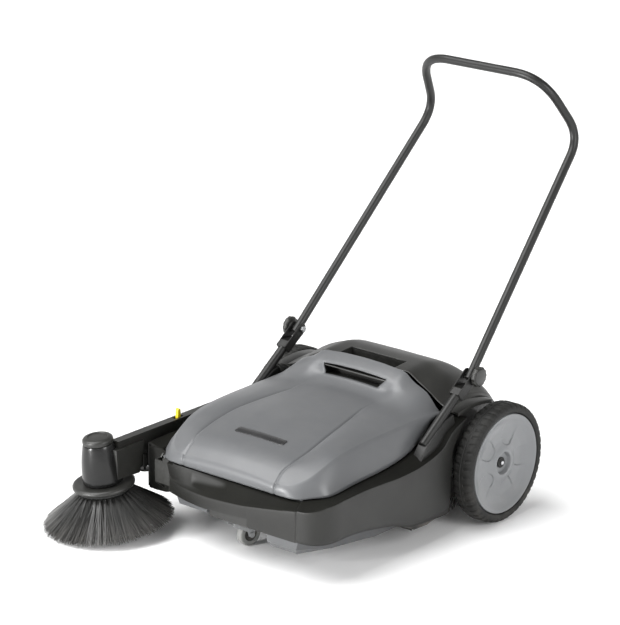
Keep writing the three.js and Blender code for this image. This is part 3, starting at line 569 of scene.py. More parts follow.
def hood_height(x, y):
    """Height of the hood's upper skin, with the folds beside its middle and the brow behind."""
    x = abs(x)
    inner, shoulder, fold = CREASE_IN(y), SHOULDER_X(y), FOLD_X(y)
    middle = curve([(0, inner + 6), (fold * 0.5, inner + 4.6), (fold, inner)])
    if x <= fold or shoulder - fold < 10:
        z = middle(x)
    else:
        outer, span = CREASE_OUT(y), shoulder - fold
        swell = 5 * ease(-600, -480, y)
        z = curve([
            (fold, inner), (fold + span * 0.3, inner * 0.72 + outer * 0.28 + swell),
            (fold + span * 0.7, inner * 0.3 + outer * 0.7 + swell), (shoulder, outer),
        ])(x)
    over_slot = 1 - ease(SLOT_X - 6, 158, x)
    rise = over_slot * SLOT_RISE(y) + (1 - over_slot) * BROW_RISE(x) * ease(-222, -112, y)
    return z + rise - hood_fold(x, y)


def hood_rows():
    """Rows of points from the middle plane to the shoulder, front to back, close at the folds."""
    ys = [HOOD_FRONT, -613.5, -611, -607, -602, -596, -589, -581, -572, -562, -551, -540]
    ys += list(range(-530, -225, 10)) + [-220, -212, -204, -196, -188, -181, -175]
    ys += [-171, SLOT_Y[0], -163, -157, SLOT_Y[1], -148, -143, -137, -131, -125, HOOD_BACK]
    near_fold = (0.3, 0.55, 0.75, 0.86, 0.93, 0.965, 0.985, 1)
    beyond = (0.012, 0.025, 0.04, 0.06, 0.09, 0.14, 0.2, 0.3, 0.4, 0.5, 0.6, 0.7, 0.8, 0.87, 0.93,
              0.97, 1)
    rows = []
    for y in ys:
        fold = FOLD_X(y)
        reach = SHOULDER_X(y) - fold
        slot_end = SLOT_X - SLOT_SLANT * (1 - ease(*SLOT_Y, y))
        xs = [*NEAR_SLOT, slot_end - 8, slot_end]
        xs += [slot_end + (fold - slot_end) * t for t in near_fold]
        xs += [fold + reach * t for t in beyond]
        rows.append([(x, y, hood_height(x, y)) for x in xs])
    return rows


def hood_hem(point):
    """Where the hood's side wall ends, under a point of its shoulder."""
    x, y, _ = point
    if y <= HOOD_FRONT:
        return (x, -620, 201)
    lead = ease(-615, -545, y)
    hem_y = y - 5 * (1 - lead) + 8 * lead * (1 - ease(-545, -500, y))
    hem_y = max(-620, hem_y)
    return (max(x, HEM_X(hem_y)), hem_y, HEM_Z(hem_y))


def hood_skin():
    """The hood's upper skin, its side wall down to the hem and its back edge, on both sides."""
    rows = hood_rows()
    hole = [i for i, row in enumerate(rows) if SLOT_Y[0] <= row[0][1] < SLOT_Y[1]]
    top = grid(rows, keep=lambda i, j: not (i in hole and j <= len(NEAR_SLOT)))
    rim = list(rows[0]) + [row[-1] for row in rows[1:]]
    fall = []
    for step in range(9):
        t = step / 8
        row = []
        for p in rim:
            hem = hood_hem(p)
            bulge = 5.5 * sin(pi * t) * (1 - 0.5 * t)
            out = Vector((hem[0] - p[0], hem[1] - p[1], 0))
            out = out.normalized() * bulge if out.length > 2 else Vector((0, -0.6 * bulge, 0))
            sunk = Vector((0, hood_fold(p[0], p[1]) * 0.8 * (p[1] <= HOOD_FRONT), 0))
            row.append(tuple(Vector(p).lerp(Vector(hem), t) + out + sunk))
        fall.append(row)
    skirt = grid(fall)
    back = [rows[-1], [(x * 0.995, HOOD_BACK, min(z - 3, 286)) for x, _, z in rows[-1]]]
    half = together(top, skirt, grid(back))
    return together(half, mirrored(half))


piece("hood_shell", hood_skin(), "hood_grey", "hopper", ["hopper_hood"], wall=3.0, smooth=58)


def open_box(x, outer, inner):
    """A box open on the side between its outline's first two corners; outlines are (y, z)."""
    rows = [[(-x - 1.5, *p) for p in outer], [(x + 1.5, *p) for p in outer]]
    caps = [[(x, *p) for p in inner], [(-x, *p) for p in inner]]
    around = [1, 2, 3]
    shell = grid(rows, around=True, ends=True, keep=lambda i, j: j in around)
    lining = grid(caps, around=True, ends=True, keep=lambda i, j: j in around)
    lips = [
        ([rows[0][0], rows[1][0], caps[0][0], caps[1][0]], [(0, 1, 2, 3)]),
        ([rows[0][1], rows[1][1], caps[0][1], caps[1][1]], [(3, 2, 1, 0)]),
        ([rows[0][0], rows[0][1], caps[1][1], caps[1][0]], [(0, 1, 2, 3)]),
        ([rows[1][0], rows[1][1], caps[0][1], caps[0][0]], [(3, 2, 1, 0)]),
    ]
    return together(shell, lining, *lips)


slot_pocket = open_box(
    SLOT_X, [(-168.5, 324.5), (-152, 346.5), (-122, 346), (-122, 318)],
    [(-167.5, 326.5), (-153.5, 344.6), (-124, 344), (-124, 320)],
)
# The pocket takes the black frame finish, not the hood's grey: painted shade inside the hand slot.
piece("hand_slot_pocket", slot_pocket, "frame_black", "hopper")
BADGE_AT = (8, -511)


def badge():
    """A blank name plate lying on the hood's upper skin."""
    half_long, half_wide, corner = 76, 11, 3
    section = ((-1, -1.0), (-1, 0.9), (-0.93, 1.4), (0, 1.4), (0.93, 1.4), (1, 0.9), (1, -1.0))
    rows = []
    for i in range(33):
        x = -half_long + 2 * half_long * i / 32
        near = max(0.0, abs(x) - (half_long - corner))
        wide = half_wide - corner + sqrt(max(corner ** 2 - near ** 2, 0.0))
        places = [(BADGE_AT[0] + x, BADGE_AT[1] + t * wide, lift) for t, lift in section]
        rows.append([(px, py, hood_height(px, py) + lift) for px, py, lift in places])
    return grid(rows, around=True, ends=True)


piece("badge_plate", badge(), "badge_dark", "hopper", smooth=50)


# ---- side guards ----
GUARD_TOP = curve([
    (-648, 184), (-643, 187), (-625, 197), (-604, 204), (-550, 209), (-496, 210), (-422, 207),
    (-347, 203), (-300, 204), (-233, 214), (-187, 229), (-150, 262), (-96, 285),
])
GUARD_BOTTOM = curve([
    (-648, 110), (-553, 114), (-390, 92), (-303, 65), (-179, 58), (-158, 60),
])
GUARD_X, GUARD_TURN, GUARD_BACK, FRONT_Y = 305, -570, -96, -643
ARCH_START, ARCH_R, AXLE_Z = -158, 162, 150
WALL_STEPS = 12


def ledge_start(y):
    """Where a guard's ledge begins, under the hood's hem."""
    return 256 - 6 * ease(-300, -110, y)


def guard_plan():
    """Stations of the left guard: outer point, where its ledge meets the hood, front to back."""
    a, b, c, d = (228, FRONT_Y), (272, FRONT_Y), (GUARD_X, -625), (GUARD_X, GUARD_TURN)
    corner = []
    for i in range(19):
        t = i / 18
        corner.append(tuple(
            a[k] * (1 - t) ** 3 + 3 * b[k] * t * (1 - t) ** 2 + 3 * c[k] * t * t * (1 - t)
            + d[k] * t ** 3 for k in (0, 1)
        ))
    side = [(GUARD_X, GUARD_TURN + (GUARD_BACK - GUARD_TURN) * i / 52) for i in range(1, 53)]
    hood_edge = [(215, -600), (226, -586), (242, -566), (256, -546)]
    stations = []
    for i, outer in enumerate(corner + side):
        if i < len(corner):
            t = 3 * i / (len(corner) - 1)
            k = min(int(t), 2)
            inner = tuple(hood_edge[k][n] * (1 - t + k) + hood_edge[k + 1][n] * (t - k)
                          for n in (0, 1))
        else:
            inner = (ledge_start(outer[1]), max(outer[1], hood_edge[-1][1]))
        stations.append((outer, inner))
    return stations


def guard_bottom(y):
    """Lower edge of a guard, and the wheel arch behind it."""
    if y < ARCH_START:
        return GUARD_BOTTOM(y)
    return AXLE_Z + sqrt(max(ARCH_R ** 2 - y ** 2, 0))


def guard_section(outer, inner):
    """From under the hood over the ledge and down the wall."""
    (ox, oy), (ix, iy) = outer, inner
    top, low = GUARD_TOP(oy), guard_bottom(oy)
    under_hood = HEM_Z(iy) - 3
    ledge = [(0.0, 0.0), (0.2, 0.1), (0.45, 0.3), (0.7, 0.62), (0.84, 0.86), (0.92, 0.96),
             (0.97, 0.97), (0.99, 0.9)]
    row = [(ix + (ox - ix) * t, iy + (oy - iy) * t, under_hood + (top - under_hood) * rise)
           for t, rise in ledge]
    row += [(ox - 0.3, oy, top - 1.4), (ox, oy, top - 3.0)]
    return row + wall_down(ox, oy, top - 4.0, low)


def wall_down(x, y, top, low):
    """The straight outer wall of a guard."""
    return [(x, y, top + (low - top) * k / WALL_STEPS) for k in range(WALL_STEPS + 1)]


left_guard = grid([guard_section(*station) for station in guard_plan()])
piece("guard_left", left_guard, "guard_black", "chassis", ["side_guard_left"], wall=3.0,
      smooth=40, outward=False)


def right_guard():
    """The other guard, which ends at a post between the disc brush and the hopper."""
    front, cut_until = -572, -300
    cut = curve([(front, 96), (-502, 84), (-496, 64), (-390, 70), (cut_until, 65)])
    sections = []
    for i in range(60):
        y = front + (GUARD_BACK - front) * i / 59
        row = guard_section((GUARD_X, y), (ledge_start(y), y))
        if y < cut_until:
            top = row[-WALL_STEPS - 1][2]
            row[-WALL_STEPS - 1:] = wall_down(GUARD_X, y, top, cut(y))
        sections.append(row)
    return mirrored(grid(sections))


piece("guard_right", right_guard(), "guard_black", "chassis", ["side_guard_right"], wall=3.0,
      smooth=40, outward=False)
POST_WALL = 2.6


def front_post():
    """The right guard's front wall, curving forward to meet the front moulding."""
    plan = [(-305, -566), (-304, -570), (-300, -572.6), (-280, -573.4), (-256, -575), (-240, -579),
            (-228, -585), (-217, -593), (-209, -600), (-203, -606)]
    lows = [94, 92, 91, 91, 93, 96, 101, 107, 112, 115]
    rows = []
    for i, ((x, y), low) in enumerate(zip(plan, lows)):
        near, far = plan[max(i - 1, 0)], plan[min(i + 1, len(plan) - 1)]
        along = Vector((far[0] - near[0], far[1] - near[1])).normalized()
        in_x, in_y = x - along.y * POST_WALL, y + along.x * POST_WALL
        top = 203 - 8 * ease(-250, -205, x)
        rows.append([(x, y, low), (x, y, top - 4), (x, y, top), (in_x, in_y, top),
                     (in_x, in_y, low)])
    return grid(rows, around=True, ends=True)


piece("guard_post", front_post(), "guard_black", "chassis", bevel=0.8)

# ---- front moulding ----
LIP_EDGE = curve([
    (-203, -605.5), (-170, -616), (-139, -625), (-74, -637), (0, -643), (80, -645), (228, -643),
])
LIP_NOSE = curve([
    (-210, 146), (-148, 147), (-70, 149), (0, 154), (64, 160), (110, 167), (157, 174), (228, 186),
])
SCOOP = (-60, 58, 4.0)  # middle, half length and depth of the finger hollow in the slope


def lip_section(x, skirt):
    """From the hood's edge down the slope, round the lip and back under it."""
    edge, nose = LIP_EDGE(x), LIP_NOSE(x)
    low = 108 if skirt else nose - 32
    back, (slope_y, slope_z) = -604.8, (-614.2, 194.2)
    rows = [(back, 188), (back, slope_z), (-606, 195), (-612, 195), (slope_y, slope_z)]
    rows = [(max(y, edge), z) for y, z in rows]
    middle, half_long, deep = SCOOP
    across = max(0.0, 1 - ((x - middle) / half_long) ** 4)
    for i in range(1, 12):
        t = i / 12
        sink = deep * across * ease(0.06, 0.4, t) * (1 - ease(0.5, 0.85, t))
        rows.append((slope_y + (edge + 3 - slope_y) * t + sink * 0.6,
                     slope_z + (nose + 2 - slope_z) * t - sink))
    inside = min(edge + 4, back)
    rows += [(edge + 1.2, nose + 0.6), (edge + 0.2, nose - 1.5), (edge, nose - 4),
             (edge, low + 1.5), (edge + 0.8, low), (inside, low), (inside, low + 14),
             (back, low + 16)]
    return [(x, y, z) for y, z in rows]


def front_moulding():
    xs = [-203 + 283 * i / 80 for i in range(81)]
    left = [80.05 + 147.5 * i / 24 for i in range(25)]
    lip = grid([lip_section(x, False) for x in xs], around=True, ends=True)
    skirt = grid([lip_section(x, True) for x in left], around=True, ends=True)
    return together(lip, skirt)


piece("front_moulding", front_moulding(), "guard_black", "chassis", ["front_lip"], smooth=32)

# ---- large wheels ----
WHEEL_X, WHEEL_R, RIM_R = 328, 150, 126
LUGS, TREAD_DEEP = 46, 2.6


def on_wheel(profile, count, radius=None):
    return spun(profile, (WHEEL_X, 0, AXLE_Z), (1, 0, 0), count, radius)


def tyre_radius(r, h, angle):
    """Blocks of tread round the crown and shoulders of a tyre."""
    turn = (angle * LUGS / (2 * pi)) % 1
    outer = ease(WHEEL_R - 12, WHEEL_R - 5, r)
    side = 0.5 if h > 0 else 0.0
    shift = (turn + side + abs(h) * 0.012) % 1
    groove = 1 - ease(0.10, 0.20, abs(shift - 0.5))
    centre = 1 - ease(1.5, 3.0, abs(h))
    band = ease(5, 7, abs(h)) if abs(h) > 3 else 0
    cut = max(groove * band, centre * 0.5)
    return r - TREAD_DEEP * cut * outer, h


tyre = on_wheel(balanced([
    (RIM_R - 0.5, -20), (RIM_R + 3, -26.5), (RIM_R + 7, -27.8), (WHEEL_R - 13, -28),
    (WHEEL_R - 10, -27.6), (WHEEL_R - 7, -26.6), (WHEEL_R - 4.4, -24.8), (WHEEL_R - 2, -22),
    (WHEEL_R - 0.6, -18), (WHEEL_R, -14), (WHEEL_R, -10), (WHEEL_R, -7), (WHEEL_R, -5.5),
    (WHEEL_R, -3), (WHEEL_R, -1.5),
]), LUGS * 10, tyre_radius)
both_sides("tyre_tread", tyre, "tyre_rubber", ON_WHEELS, "tyre", smooth=32)

PETALS, PETAL_IN, PETAL_HALF, PETAL_DEEP = 5, 45, 21, 2.6
PETAL_START = radians(70)


def rim_dish(r, h, angle):
    """Sinks the petal-shaped panels into the outer face of a rim."""
    if h < 8.2 or not 30 < r < 118:
        return r, h
    step = 2 * pi / PETALS
    off = ((angle - PETAL_START + step / 2) % step) - step / 2
    across = abs(off) * r
    wide = PETAL_HALF * (1 + 0.35 * (r - PETAL_IN) / 60)
    start = PETAL_IN + PETAL_HALF - sqrt(max(PETAL_HALF ** 2 - min(across, PETAL_HALF) ** 2, 0))
    inside = ease(-0.9, 0.9, wide - across) * ease(-0.9, 0.9, r - start)
    return r, h - PETAL_DEEP * inside * (1 - ease(72, 106, r))


def rim():
    """A dished disc with a recessed hub; its outer face is fine enough for the panels."""
    face = curve([
        (28, 18.6), (31, 19.4), (36, 18.4), (48, 14.2), (60, 11.6), (80, 11.2), (100, 15.4),
        (110, 19.6), (117, 23.4),
    ])
    outer = [(r, face(r)) for r in range(117, 28, -1)]
    profile = [
        (12.6, -18), (29, -18), (33, 2), (104, 4), (112, -24), (RIM_R - 1.2, -25.6),
        (RIM_R - 0.6, -20), (RIM_R - 0.6, 20), (RIM_R - 0.6, 24.6), (RIM_R - 1.4, 25.8),
        (RIM_R - 3, 26), (121, 25.2), *outer, (28.2, 18.2), (27.6, 17.0), (26.4, 9.4),
        (25.4, 8.4), (12.6, 8.0),
    ]
    return on_wheel(profile, 300, rim_dish)


both_sides("rim_dish", rim(), "rim_grey", ON_WHEELS, "rim", smooth=38)
hub_washer = on_wheel([(5, 9), (13, 9), (13.6, 9.6), (13.6, 11), (13, 11.6), (5, 11.6)], 64)
both_sides("hub_washer", hub_washer, "seal_rubber", ON_CHASSIS, "axle_washer",
           smooth=40)
hub_bolt = on_wheel([(0.4, 9), (5.6, 9), (5.6, 15), (4.6, 16), (0.4, 16)], 6)
both_sides("hub_bolt", hub_bolt, "zinc", ON_CHASSIS, "axle_bolt", bevel=0.5, smooth=30)

# ---- handle ----
CLAMP, KNEE, GRIP = Vector((276, -47, 375)), Vector((231, 440, 867)), Vector((189, 334, 1029))
TUBE_R = 11


def rounded_path(corners, cut_back, step):
    """Straight runs joined by smooth bends, each starting cut_back before its corner."""
    path, here = [corners[0]], corners[0]
    for i, reach in enumerate(cut_back, 1):
        start = corners[i] + (corners[i - 1] - corners[i]).normalized() * reach
        end = corners[i] + (corners[i + 1] - corners[i]).normalized() * reach
        runs = max(2, round((start - here).length / step))
        path += [here.lerp(start, k / runs) for k in range(1, runs + 1)]
        for k in range(1, 15):
            t = k / 14
            path.append(start.lerp(corners[i], t).lerp(corners[i].lerp(end, t), t))
        here = end
    runs = max(2, round((corners[-1] - here).length / step))
    return path + [here.lerp(corners[-1], k / runs) for k in range(1, runs + 1)]


def handle():
    foot = CLAMP - (KNEE - CLAMP).normalized() * 13
    half = [foot, KNEE, GRIP]
    corners = half + [Vector((-p.x, p.y, p.z)) for p in reversed(half)]
    path = rounded_path(corners, [60, 85, 85, 60], 60)
    return tube(path, TUBE_R, 36)


piece("handle_bow", handle(), "tube_black", "handle", ["handle_tube"], bevel=1.2, smooth=40,
      sharper_than=50)


def strut():
    """A rod that runs down into a wedge-shaped socket on the guard's ledge."""
    upper, lower = Vector((CLAMP[0], -103, 336)), Vector((CLAMP[0], -232, 243.6))
    rod = tube([upper, upper.lerp(lower, 0.5), lower], 11.5, 32)
    socket = prism([(-266, 203), (-250, 226), (-232, 246), (-196, 270), (-160, 292), (-132, 300),
                    (-120, 262), (-180, 212)], CLAMP[0] - 14, CLAMP[0] + 16)
    return together(rod, socket)


def strut_jaw():
    """A flattened sleeve: two cheeks round the tube's foot, filled below where the foot swings."""
    centre, end = CLAMP.yz, Vector((-103, 336))
    down = (end - centre).normalized()
    square = Vector((-down.y, down.x))
    turn = atan2(-down.y, -down.x)
    arc = [centre + Vector((cos(turn + a), sin(turn + a))) * 14.5
           for a in (radians(-90 + 180 * k / 16) for k in range(17))]
    foot, half = centre + down * 72, square * 12.6
    outline = arc + [foot - square * 13, foot + square * 13]
    filling = [centre + down * 52 - half, centre + down * 19.5 + half, foot + half, foot - half]
    return together(*(
        prism([tuple(p) for p in shape], CLAMP[0] + low, CLAMP[0] + high)
        for shape, low, high in ((outline, -15.2, -12.3), (outline, 12.3, 15.2),
                                 (filling, -12.8, 12.8))
    ))


both_sides("strut_rod", strut(), "tube_black", ON_CHASSIS, "handle_strut", bevel=3.0, turns=3,
           smooth=40)
both_sides("strut_jaw", strut_jaw(), "tube_black", ON_CHASSIS, bevel=1.6, turns=3, smooth=40)


def lobes(r, h, angle):
    """Faint finger lobes round a clamp knob."""
    return r + 0.7 * cos(12 * angle) * ease(18, 23, r), h


KNOB_AT = (CLAMP[0] + 16.5, CLAMP[1], CLAMP[2])
knob = spun(
    [(4.8, -0.6), (14, -0.6), (15, 1.2), (20, 1.2), (23.4, 2.4), (24.6, 4.4), (24.6, 11),
     (23.8, 13), (22.6, 14), (21.4, 14.2), (20.6, 13.4), (4.8, 13.4)],
    KNOB_AT, (1, 0, 0), 144, lobes,
)
both_sides("knob_grip", knob, "frame_black", ON_KNOBS, "clamp_knob", smooth=42)
knob_disc = spun([(0.4, 13.8), (20.2, 13.8), (20.4, 14.4), (20.0, 15.2), (18.8, 15.8), (0.4, 16.4)],
                 KNOB_AT, (1, 0, 0), 96)
both_sides("knob_disc", knob_disc, "knob_face", ON_KNOBS, "knob_cap",
           smooth=40)
for side in ("left", "right"):
    softened(f"clamp_bolt_{side}", 0.5)

# ---- rear cover, frame and seals ----
COVER_X = [0, 30, 60, 88, 90, 100, 110, 120, 130, 140, 150, 160, 170, 180, 190, 200, 208, 216,
           224, 231, 237, 242, 246, 250, 254, 258]
COVER_Y = [-109, -106, -100, -90, -78, -66, -58, -56, -48, -38, -26, -12, 4, 20, 36, 52, 66, 78,
           88, 96, 102, 107, 110, 112]
COVER_CUTS = [(y, curve(points)) for y, points in (
    (-109, [(0, 366), (128, 366), (160, 350), (200, 328), (236, 306), (258, 298)]),
    (-70, [(0, 369), (122, 369), (160, 356), (200, 336), (236, 313), (258, 303)]),
    (-30, [(0, 370), (118, 370), (160, 358), (190, 346), (236, 316), (258, 305)]),
    (10, [(0, 364), (120, 363), (160, 352), (190, 341), (236, 311), (258, 302)]),
    (50, [(0, 349), (120, 348), (160, 341), (190, 330), (221, 315), (258, 286)]),
    (80, [(0, 324), (120, 323), (190, 311), (221, 297), (258, 262)]),
    (104, [(0, 286), (120, 285), (190, 276), (221, 262), (258, 228)]),
    (112, [(0, 256), (120, 255), (190, 248), (221, 236), (258, 204)]),
)]
WALL_X, SIDE_LOW = 246, 200  # end of the cover's back wall, foot of its side walls
TROUGH_X, TROUGH_BACK, TROUGH_FLOOR = 88, -58, 336
FLANGE_Z = curve([(-112, 297), (-80, 302), (-40, 305), (0, 301), (35, 292), (62, 279)])


def cover_height(x, y):
    return curve([(cut_y, height(x)) for cut_y, height in COVER_CUTS])(y)


def cover_crown():
    """Top of the rear cover, with the hand trough at its front and its back wall."""
    front, last = COVER_Y[0], len(COVER_Y) - 1
    depth = COVER_Y[last] - front
    rows = []
    for x in COVER_X:
        pull = 46 * ease(244, 258, x) + 8 * ease(200, 244, x)
        ys = [front + (y - front) * (depth - pull) / depth for y in COVER_Y]
        row = [(x, y, cover_height(x, y)) for y in ys]
        back, edge = row[last][1:]
        wall = [(x, back + 0.6, edge - 10), (x, back + 1, 170), (x, back + 1, 90)]
        rows.append(row + (wall if x <= WALL_X else [(x, back, edge - 1)] * 3))

    def kept(i, j):
        in_trough = j < last and COVER_X[i] < TROUGH_X and COVER_Y[j] < TROUGH_BACK
        past_wall = j >= last and COVER_X[i] >= WALL_X
        return not in_trough and not past_wall

    edge_row = rows[COVER_X.index(WALL_X)][:last + 1]
    side = [[(x, y, z), (x, y, SIDE_LOW)] for x, y, z in edge_row if y > -100]
    return together(grid(rows, keep=kept), grid(side))


def trough_lining():
    """Floor, back and ends of the hand trough, up to the crown's edge."""
    x, y, low, top = TROUGH_X, TROUGH_BACK, TROUGH_FLOOR, 366
    return together(
        block((-x, x), (-109, y), (low - 2, low)),
        block((-x - 2, x + 2), (y, y + 2), (low - 2, top)),
        block((-x - 2, -x), (-109, y), (low - 2, top)),
        block((x, x + 2), (-109, y), (low - 2, top)),
    )


def cover_flange():
    """Thin curved flange over the wheel."""
    rows = []
    for i in range(31):
        y = -112 + 174 * i / 30
        z = FLANGE_Z(y)
        wide = 290 - 26 * ease(20, 62, y)
        rows.append([(247, y, z - 1), (258, y, z), (wide - 2, y, z + 0.4), (wide - 0.4, y, z - 0.4),
                     (wide, y, z - 2.4), (wide, y, z - 9), (wide - 2.4, y, z - 9),
                     (wide - 2.6, y, z - 3), (247, y, z - 4)])
    return grid(rows, around=True, ends=True)


half_cover = cover_crown()
piece("cover_crown", together(half_cover, mirrored(half_cover)), "frame_black", "chassis",
      ["rear_cover"], wall=2.6, smooth=42)
piece("trough_lining", trough_lining(), "frame_black", "chassis", smooth=30)
both_sides("cover_flange", cover_flange(), "frame_black", ON_CHASSIS, smooth=50)
softened("frame", 1.0)


def raised_front(x, y, z):
    """Lifts the bin's floor towards the front, beside the caster on the brush's side."""
    lift = 34 * ease(-40, -80, x) * ease(-480, -560, y)
    return (x, y, max(z, min(z + lift, 84)))


softened("hopper_tray", 3.0, raised_front, turns=3)
for node, bevel in {
    "rear_seal": 0.8, "side_seal_left": 1.0, "side_seal_right": 1.0, "tray_lip_seal": 0.8,
    "caster_plate": 0.8, "caster_fork": 0.6, "caster_axle": 0.5, "arm_bracket": 1.0,
    "latch_lever": 1.2, "height_stop": 0.6, "stop_screw": 0.8, "arm_shell": 1.6,
}.items():
    softened(node, bevel)

# ---- caster wheel ----
CASTER_AT, CASTER_TURN = (-22, -523, 30), radians(13)
CASTER_AXIS = (cos(CASTER_TURN), -sin(CASTER_TURN), 0)
for name, finish, node, half in (
    ("caster_tread", "caster_grey", "caster_tyre",
     [(17.3, -9), (18, -9.8), (24, -10), (27.5, -9.2), (29.4, -7.4), (30, -4.5)]),
    ("caster_core", "seal_rubber", "caster_hub",
     [(4.6, -11), (8, -11), (9, -10), (15.6, -7.4), (17.2, -8.6)]),
):
    wheel = spun(balanced(half), CASTER_AT, CASTER_AXIS, 96)
    piece(name, wheel, finish, "caster_wheel", [node], smooth=40)

# ---- side brush ----
BRUSH_BASE, BRUSH_UP = Vector((-352, -664, 21)), Vector((-0.05, -0.105, 1)).normalized()


def on_brush(profile):
    return spun(profile, BRUSH_BASE, BRUSH_UP, 128)


piece("head_tower", on_brush([
    (9.5, 151.5), (38, 151.5), (46, 107.5), (47.4, 106.2), (49, 106), (50, 107.4), (50.2, 114),
    (49.6, 128), (48.6, 142), (46.8, 160), (44.6, 174), (42.2, 186), (39.6, 198), (38.4, 203),
    (37.4, 204.8), (35.4, 205.2), (32, 204.8), (32, 190), (9.5, 190)]),
    "gloss_black", "arm", ["head_housing"], smooth=40)
piece("head_lid", on_brush([
    (0.4, 205.6), (36, 205.6), (37.6, 206.6), (38, 208.4), (38, 214), (37, 217), (34.6, 219.6),
    (31, 221), (26, 221.4), (25, 220.6), (24.4, 219.4), (12, 219.8), (0.4, 220)]),
    "frame_black", "arm", ["head_cap"], smooth=40)
piece("brush_collar", on_brush([
    (8.6, 95.4), (66, 95.4), (66.6, 93), (68, 91.9), (71, 91.4), (74, 92), (76.2, 93.8),
    (77, 96.4), (76.6, 99.4), (75, 102), (72, 104), (68.6, 104.5), (60, 104), (50, 102.6),
    (8.6, 102.4)]),
    "frame_black", "side_brush", ["brush_flange"], smooth=40)
piece("brush_disc", on_brush([
    (30, 80), (60, 78), (62.6, 78.6), (65, 82), (66, 86), (65.8, 92), (65, 94.6), (30, 94.6)]),
    "gloss_black", "side_brush", ["brush_block"], smooth=40)
# A dark cone just inside the strands stands in for the shade between the bristle roots: painted shade.
piece("brush_inner", on_brush([(48, 79), (58, 79), (96, 46), (134, 14), (126, 12), (90, 42)]),
      "seal_rubber", "side_brush", smooth=40)


def tufts(roots, count, thick):
    """Bristles as thin tapered strands, with how far along each point is and each one's shade."""
    points, faces, along, own = [], [], [], []
    sides, joints = 3, 4
    for n in range(count):
        root, tip, bend = (Vector(v) for v in roots(n))
        line = (tip - root).normalized()
        side, other = square_to(line)
        shade = random.random()
        start = len(points)
        for k in range(joints + 1):
            t = k / joints
            middle = root.lerp(tip, t) + bend * (t * t)
            r = thick * (1 - 0.55 * t)
            for m in range(sides):
                a = 2 * pi * m / sides
                points.append(tuple(middle + (side * cos(a) + other * sin(a)) * r))
                along.append(t)
                own.append(shade)
        for k in range(joints):
            for m in range(sides):
                a, b = start + k * sides + m, start + k * sides + (m + 1) % sides
                faces.append((a, b, b + sides, a + sides))
        faces.append(tuple(reversed(range(start, start + sides))))
        faces.append(tuple(range(start + joints * sides, start + (joints + 1) * sides)))
    return points, faces, along, own


def bristles(name, made, body, replaces):
    points, faces, along, own = made
    mesh = bpy.data.meshes.new(name)
    mesh.from_pydata([at(*p) for p in points], [], faces)
    for label, values in (("along", along), ("strand", own)):
        mesh.attributes.new(label, "FLOAT", "POINT").data.foreach_set("value", values)
    finished(name, mesh, "bristle", body, replaces, smooth=80)


random.seed(7)
SIDE_TUFTS, SIDE_STRANDS = 64, 58


def side_strand(n):
    """One strand of the disc brush: its tufts stand in two rings and flare out to the floor."""
    tuft = n // SIDE_STRANDS
    side, other = square_to(BRUSH_UP)
    inner = tuft % 2
    a = 2 * pi * (tuft + random.gauss(0, 0.12)) / SIDE_TUFTS
    flare = random.gauss(0, 0.06)
    foot = (56 if inner else 62) + random.uniform(-3.4, 3.4)
    end = (151 if inner else 158) + random.uniform(-9, 4.5)
    drop = 4 + random.uniform(-2.0, 3.0) + (163 - end) * 0.25
    out = side * cos(a) + other * sin(a)
    out_end = side * cos(a + flare) + other * sin(a + flare)
    root = BRUSH_BASE + out * foot + BRUSH_UP * 80
    tip = BRUSH_BASE + out_end * end + BRUSH_UP * drop
    return root, tip, BRUSH_UP * random.uniform(-3.5, 1.0)


bristles("side_brush_strands", tufts(side_strand, SIDE_TUFTS * SIDE_STRANDS, 0.95),
         "side_brush", ["side_bristles"])

ROLLER_Y, ROLLER_Z, ROLLER_R, ROLLER_FOOT, ROLLER_HALF = -80.498, 126, 122, 46, 235
ROLLER_ROWS, ROLLER_STEPS, ROLLER_STRANDS = 8, 46, 7


def roller_strand(n):
    """One strand of the roller: tufts in rows that lie in a shallow V."""
    row, rest = divmod(n, ROLLER_STEPS * ROLLER_STRANDS)
    step = rest // ROLLER_STRANDS
    x = -ROLLER_HALF + 8 + (2 * ROLLER_HALF - 16) * step / (ROLLER_STEPS - 1)
    x = max(-ROLLER_HALF + 5, min(ROLLER_HALF - 5, x + random.gauss(0, 2.2)))
    a = 2 * pi * row / ROLLER_ROWS + abs(x) / ROLLER_HALF * radians(22)
    foot, end = a + random.gauss(0, 0.03), a + random.gauss(0, 0.035)
    reach = ROLLER_R - random.uniform(0, 3)
    root = (x, ROLLER_Y + ROLLER_FOOT * cos(foot), ROLLER_Z + ROLLER_FOOT * sin(foot))
    tip = (x + random.gauss(0, 2), ROLLER_Y + reach * cos(end),
           ROLLER_Z + reach * sin(end))
    return root, tip, (0, 0, 0)


bristles("roller_strands",
         tufts(roller_strand, ROLLER_ROWS * ROLLER_STEPS * ROLLER_STRANDS, 0.9),
         "roller", ["roller_bristles"])
for node in ("roller_core", "roller_bearing_left", "roller_bearing_right", "axle_left",
             "axle_right", "roller_pinion", "ring_gear", "drive_pulley"):
    softened(node, 0.4)


# ---- camera, floor and light ----
AZIMUTH, ELEVATION, ROLL = radians(40.2), radians(18.6), 0.0037
CAMERA_AT = at(4421.6, -5519.5, 2766.5)
SENSOR_WIDTH, FOCAL_RATIO, LENS_SHIFT = 36, 4.8, (-0.0155, 0.0458)

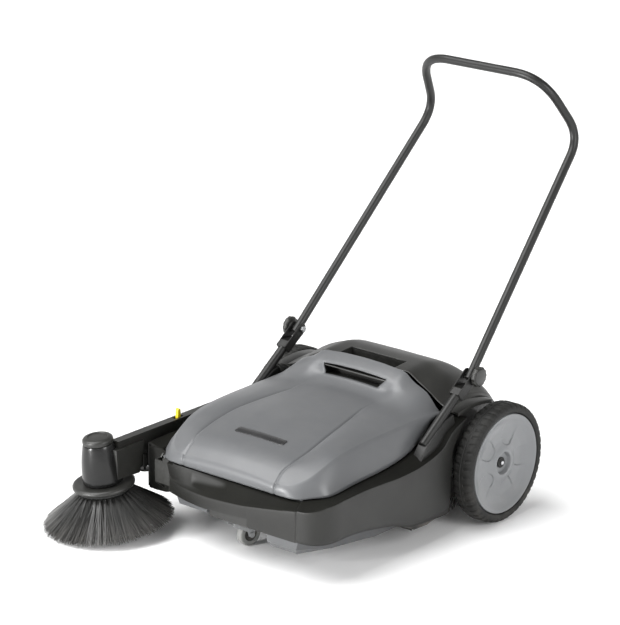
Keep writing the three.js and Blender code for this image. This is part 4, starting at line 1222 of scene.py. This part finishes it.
back = Vector((
    sin(AZIMUTH) * cos(ELEVATION),
    -cos(AZIMUTH) * cos(ELEVATION),
    sin(ELEVATION),
))
right = Vector((0, 0, 1)).cross(back).normalized()
up = back.cross(right)
right, up = (
    right * cos(ROLL) + up * sin(ROLL),
    up * cos(ROLL) - right * sin(ROLL),
)
camera_data = bpy.data.cameras.new("camera")
camera_data.sensor_width = SENSOR_WIDTH
camera_data.lens = SENSOR_WIDTH * FOCAL_RATIO
camera_data.shift_x, camera_data.shift_y = LENS_SHIFT
camera_data.clip_end = 60
camera = placed("camera", camera_data)
camera.matrix_world = Matrix((right, up, back)).transposed().to_4x4()
camera.location = CAMERA_AT
bpy.context.scene.camera = camera
bpy.context.scene.view_settings.view_transform = "Standard"


def studio_floor():
    """A pale floor wide enough to reach past the picture."""
    mesh = bpy.data.meshes.new("studio_floor")
    reach = 30.0
    mesh.from_pydata([(-reach, -reach, 0), (reach, -reach, 0), (reach, reach, 0),
                      (-reach, reach, 0)], [], [(0, 1, 2, 3)])
    made, w, shader = new_material("studio_floor")
    cloud = w.noise(0.7, 2.0, 0.5, w.position())
    w.join(w.tint(cloud, (0.97, 0.97, 0.97, 1), (0.99, 0.99, 0.99, 1)),
           shader.inputs["Base Color"])
    shader.inputs["Roughness"].default_value = 0.85
    shader.inputs["Specular IOR Level"].default_value = 0.15
    mesh.materials.append(made)
    placed("studio_floor", mesh)


def softbox(name, where, aim, size, watts):
    """A large rectangular light at where, facing aim."""
    data = bpy.data.lights.new(name, "AREA")
    data.shape, data.size, data.size_y, data.energy = "RECTANGLE", *size, watts
    light = placed(name, data)
    light.location = where
    light.rotation_mode = "QUATERNION"
    light.rotation_quaternion = (Vector(aim) - Vector(where)).to_track_quat("-Z", "Y")


studio_floor()
sun_data = bpy.data.lights.new("sky_panel", "SUN")
sun_data.energy, sun_data.angle = 3.5, radians(50)
sun = placed("sky_panel", sun_data)
sun.rotation_euler = (radians(24), radians(-20), 0)
softbox("front_left", (-1.3, -4.0, 0.8), (-0.3, -0.5, 0.2), (0.4, 1.4), 150)
softbox("left_side", (4.2, -0.6, 2.2), (0.2, 0.1, 0.3), (1.4, 2.2), 85)
world = bpy.data.worlds.new("studio")
world.use_nodes = True
w = Wiring(world.node_tree)
toward = w.node("TexCoord").outputs["Generated"]
overhead = w.spread(w.upward_part(toward), 0.05, 0.75)
background = world.node_tree.nodes["Background"]
w.join(w.tint(overhead, (1, 1, 1, 1), (0.22, 0.22, 0.22, 1)), background.inputs["Color"])
background.inputs["Strength"].default_value = 1.05
bpy.context.scene.world = world

# ---- frame nodes kept as they are ----
for node, obj in frame["nodes"].items():
    if not obj.hide_render:
        obj.data.materials.clear()
        obj.data.materials.append(FINISHES[SLOT_OF[node]])
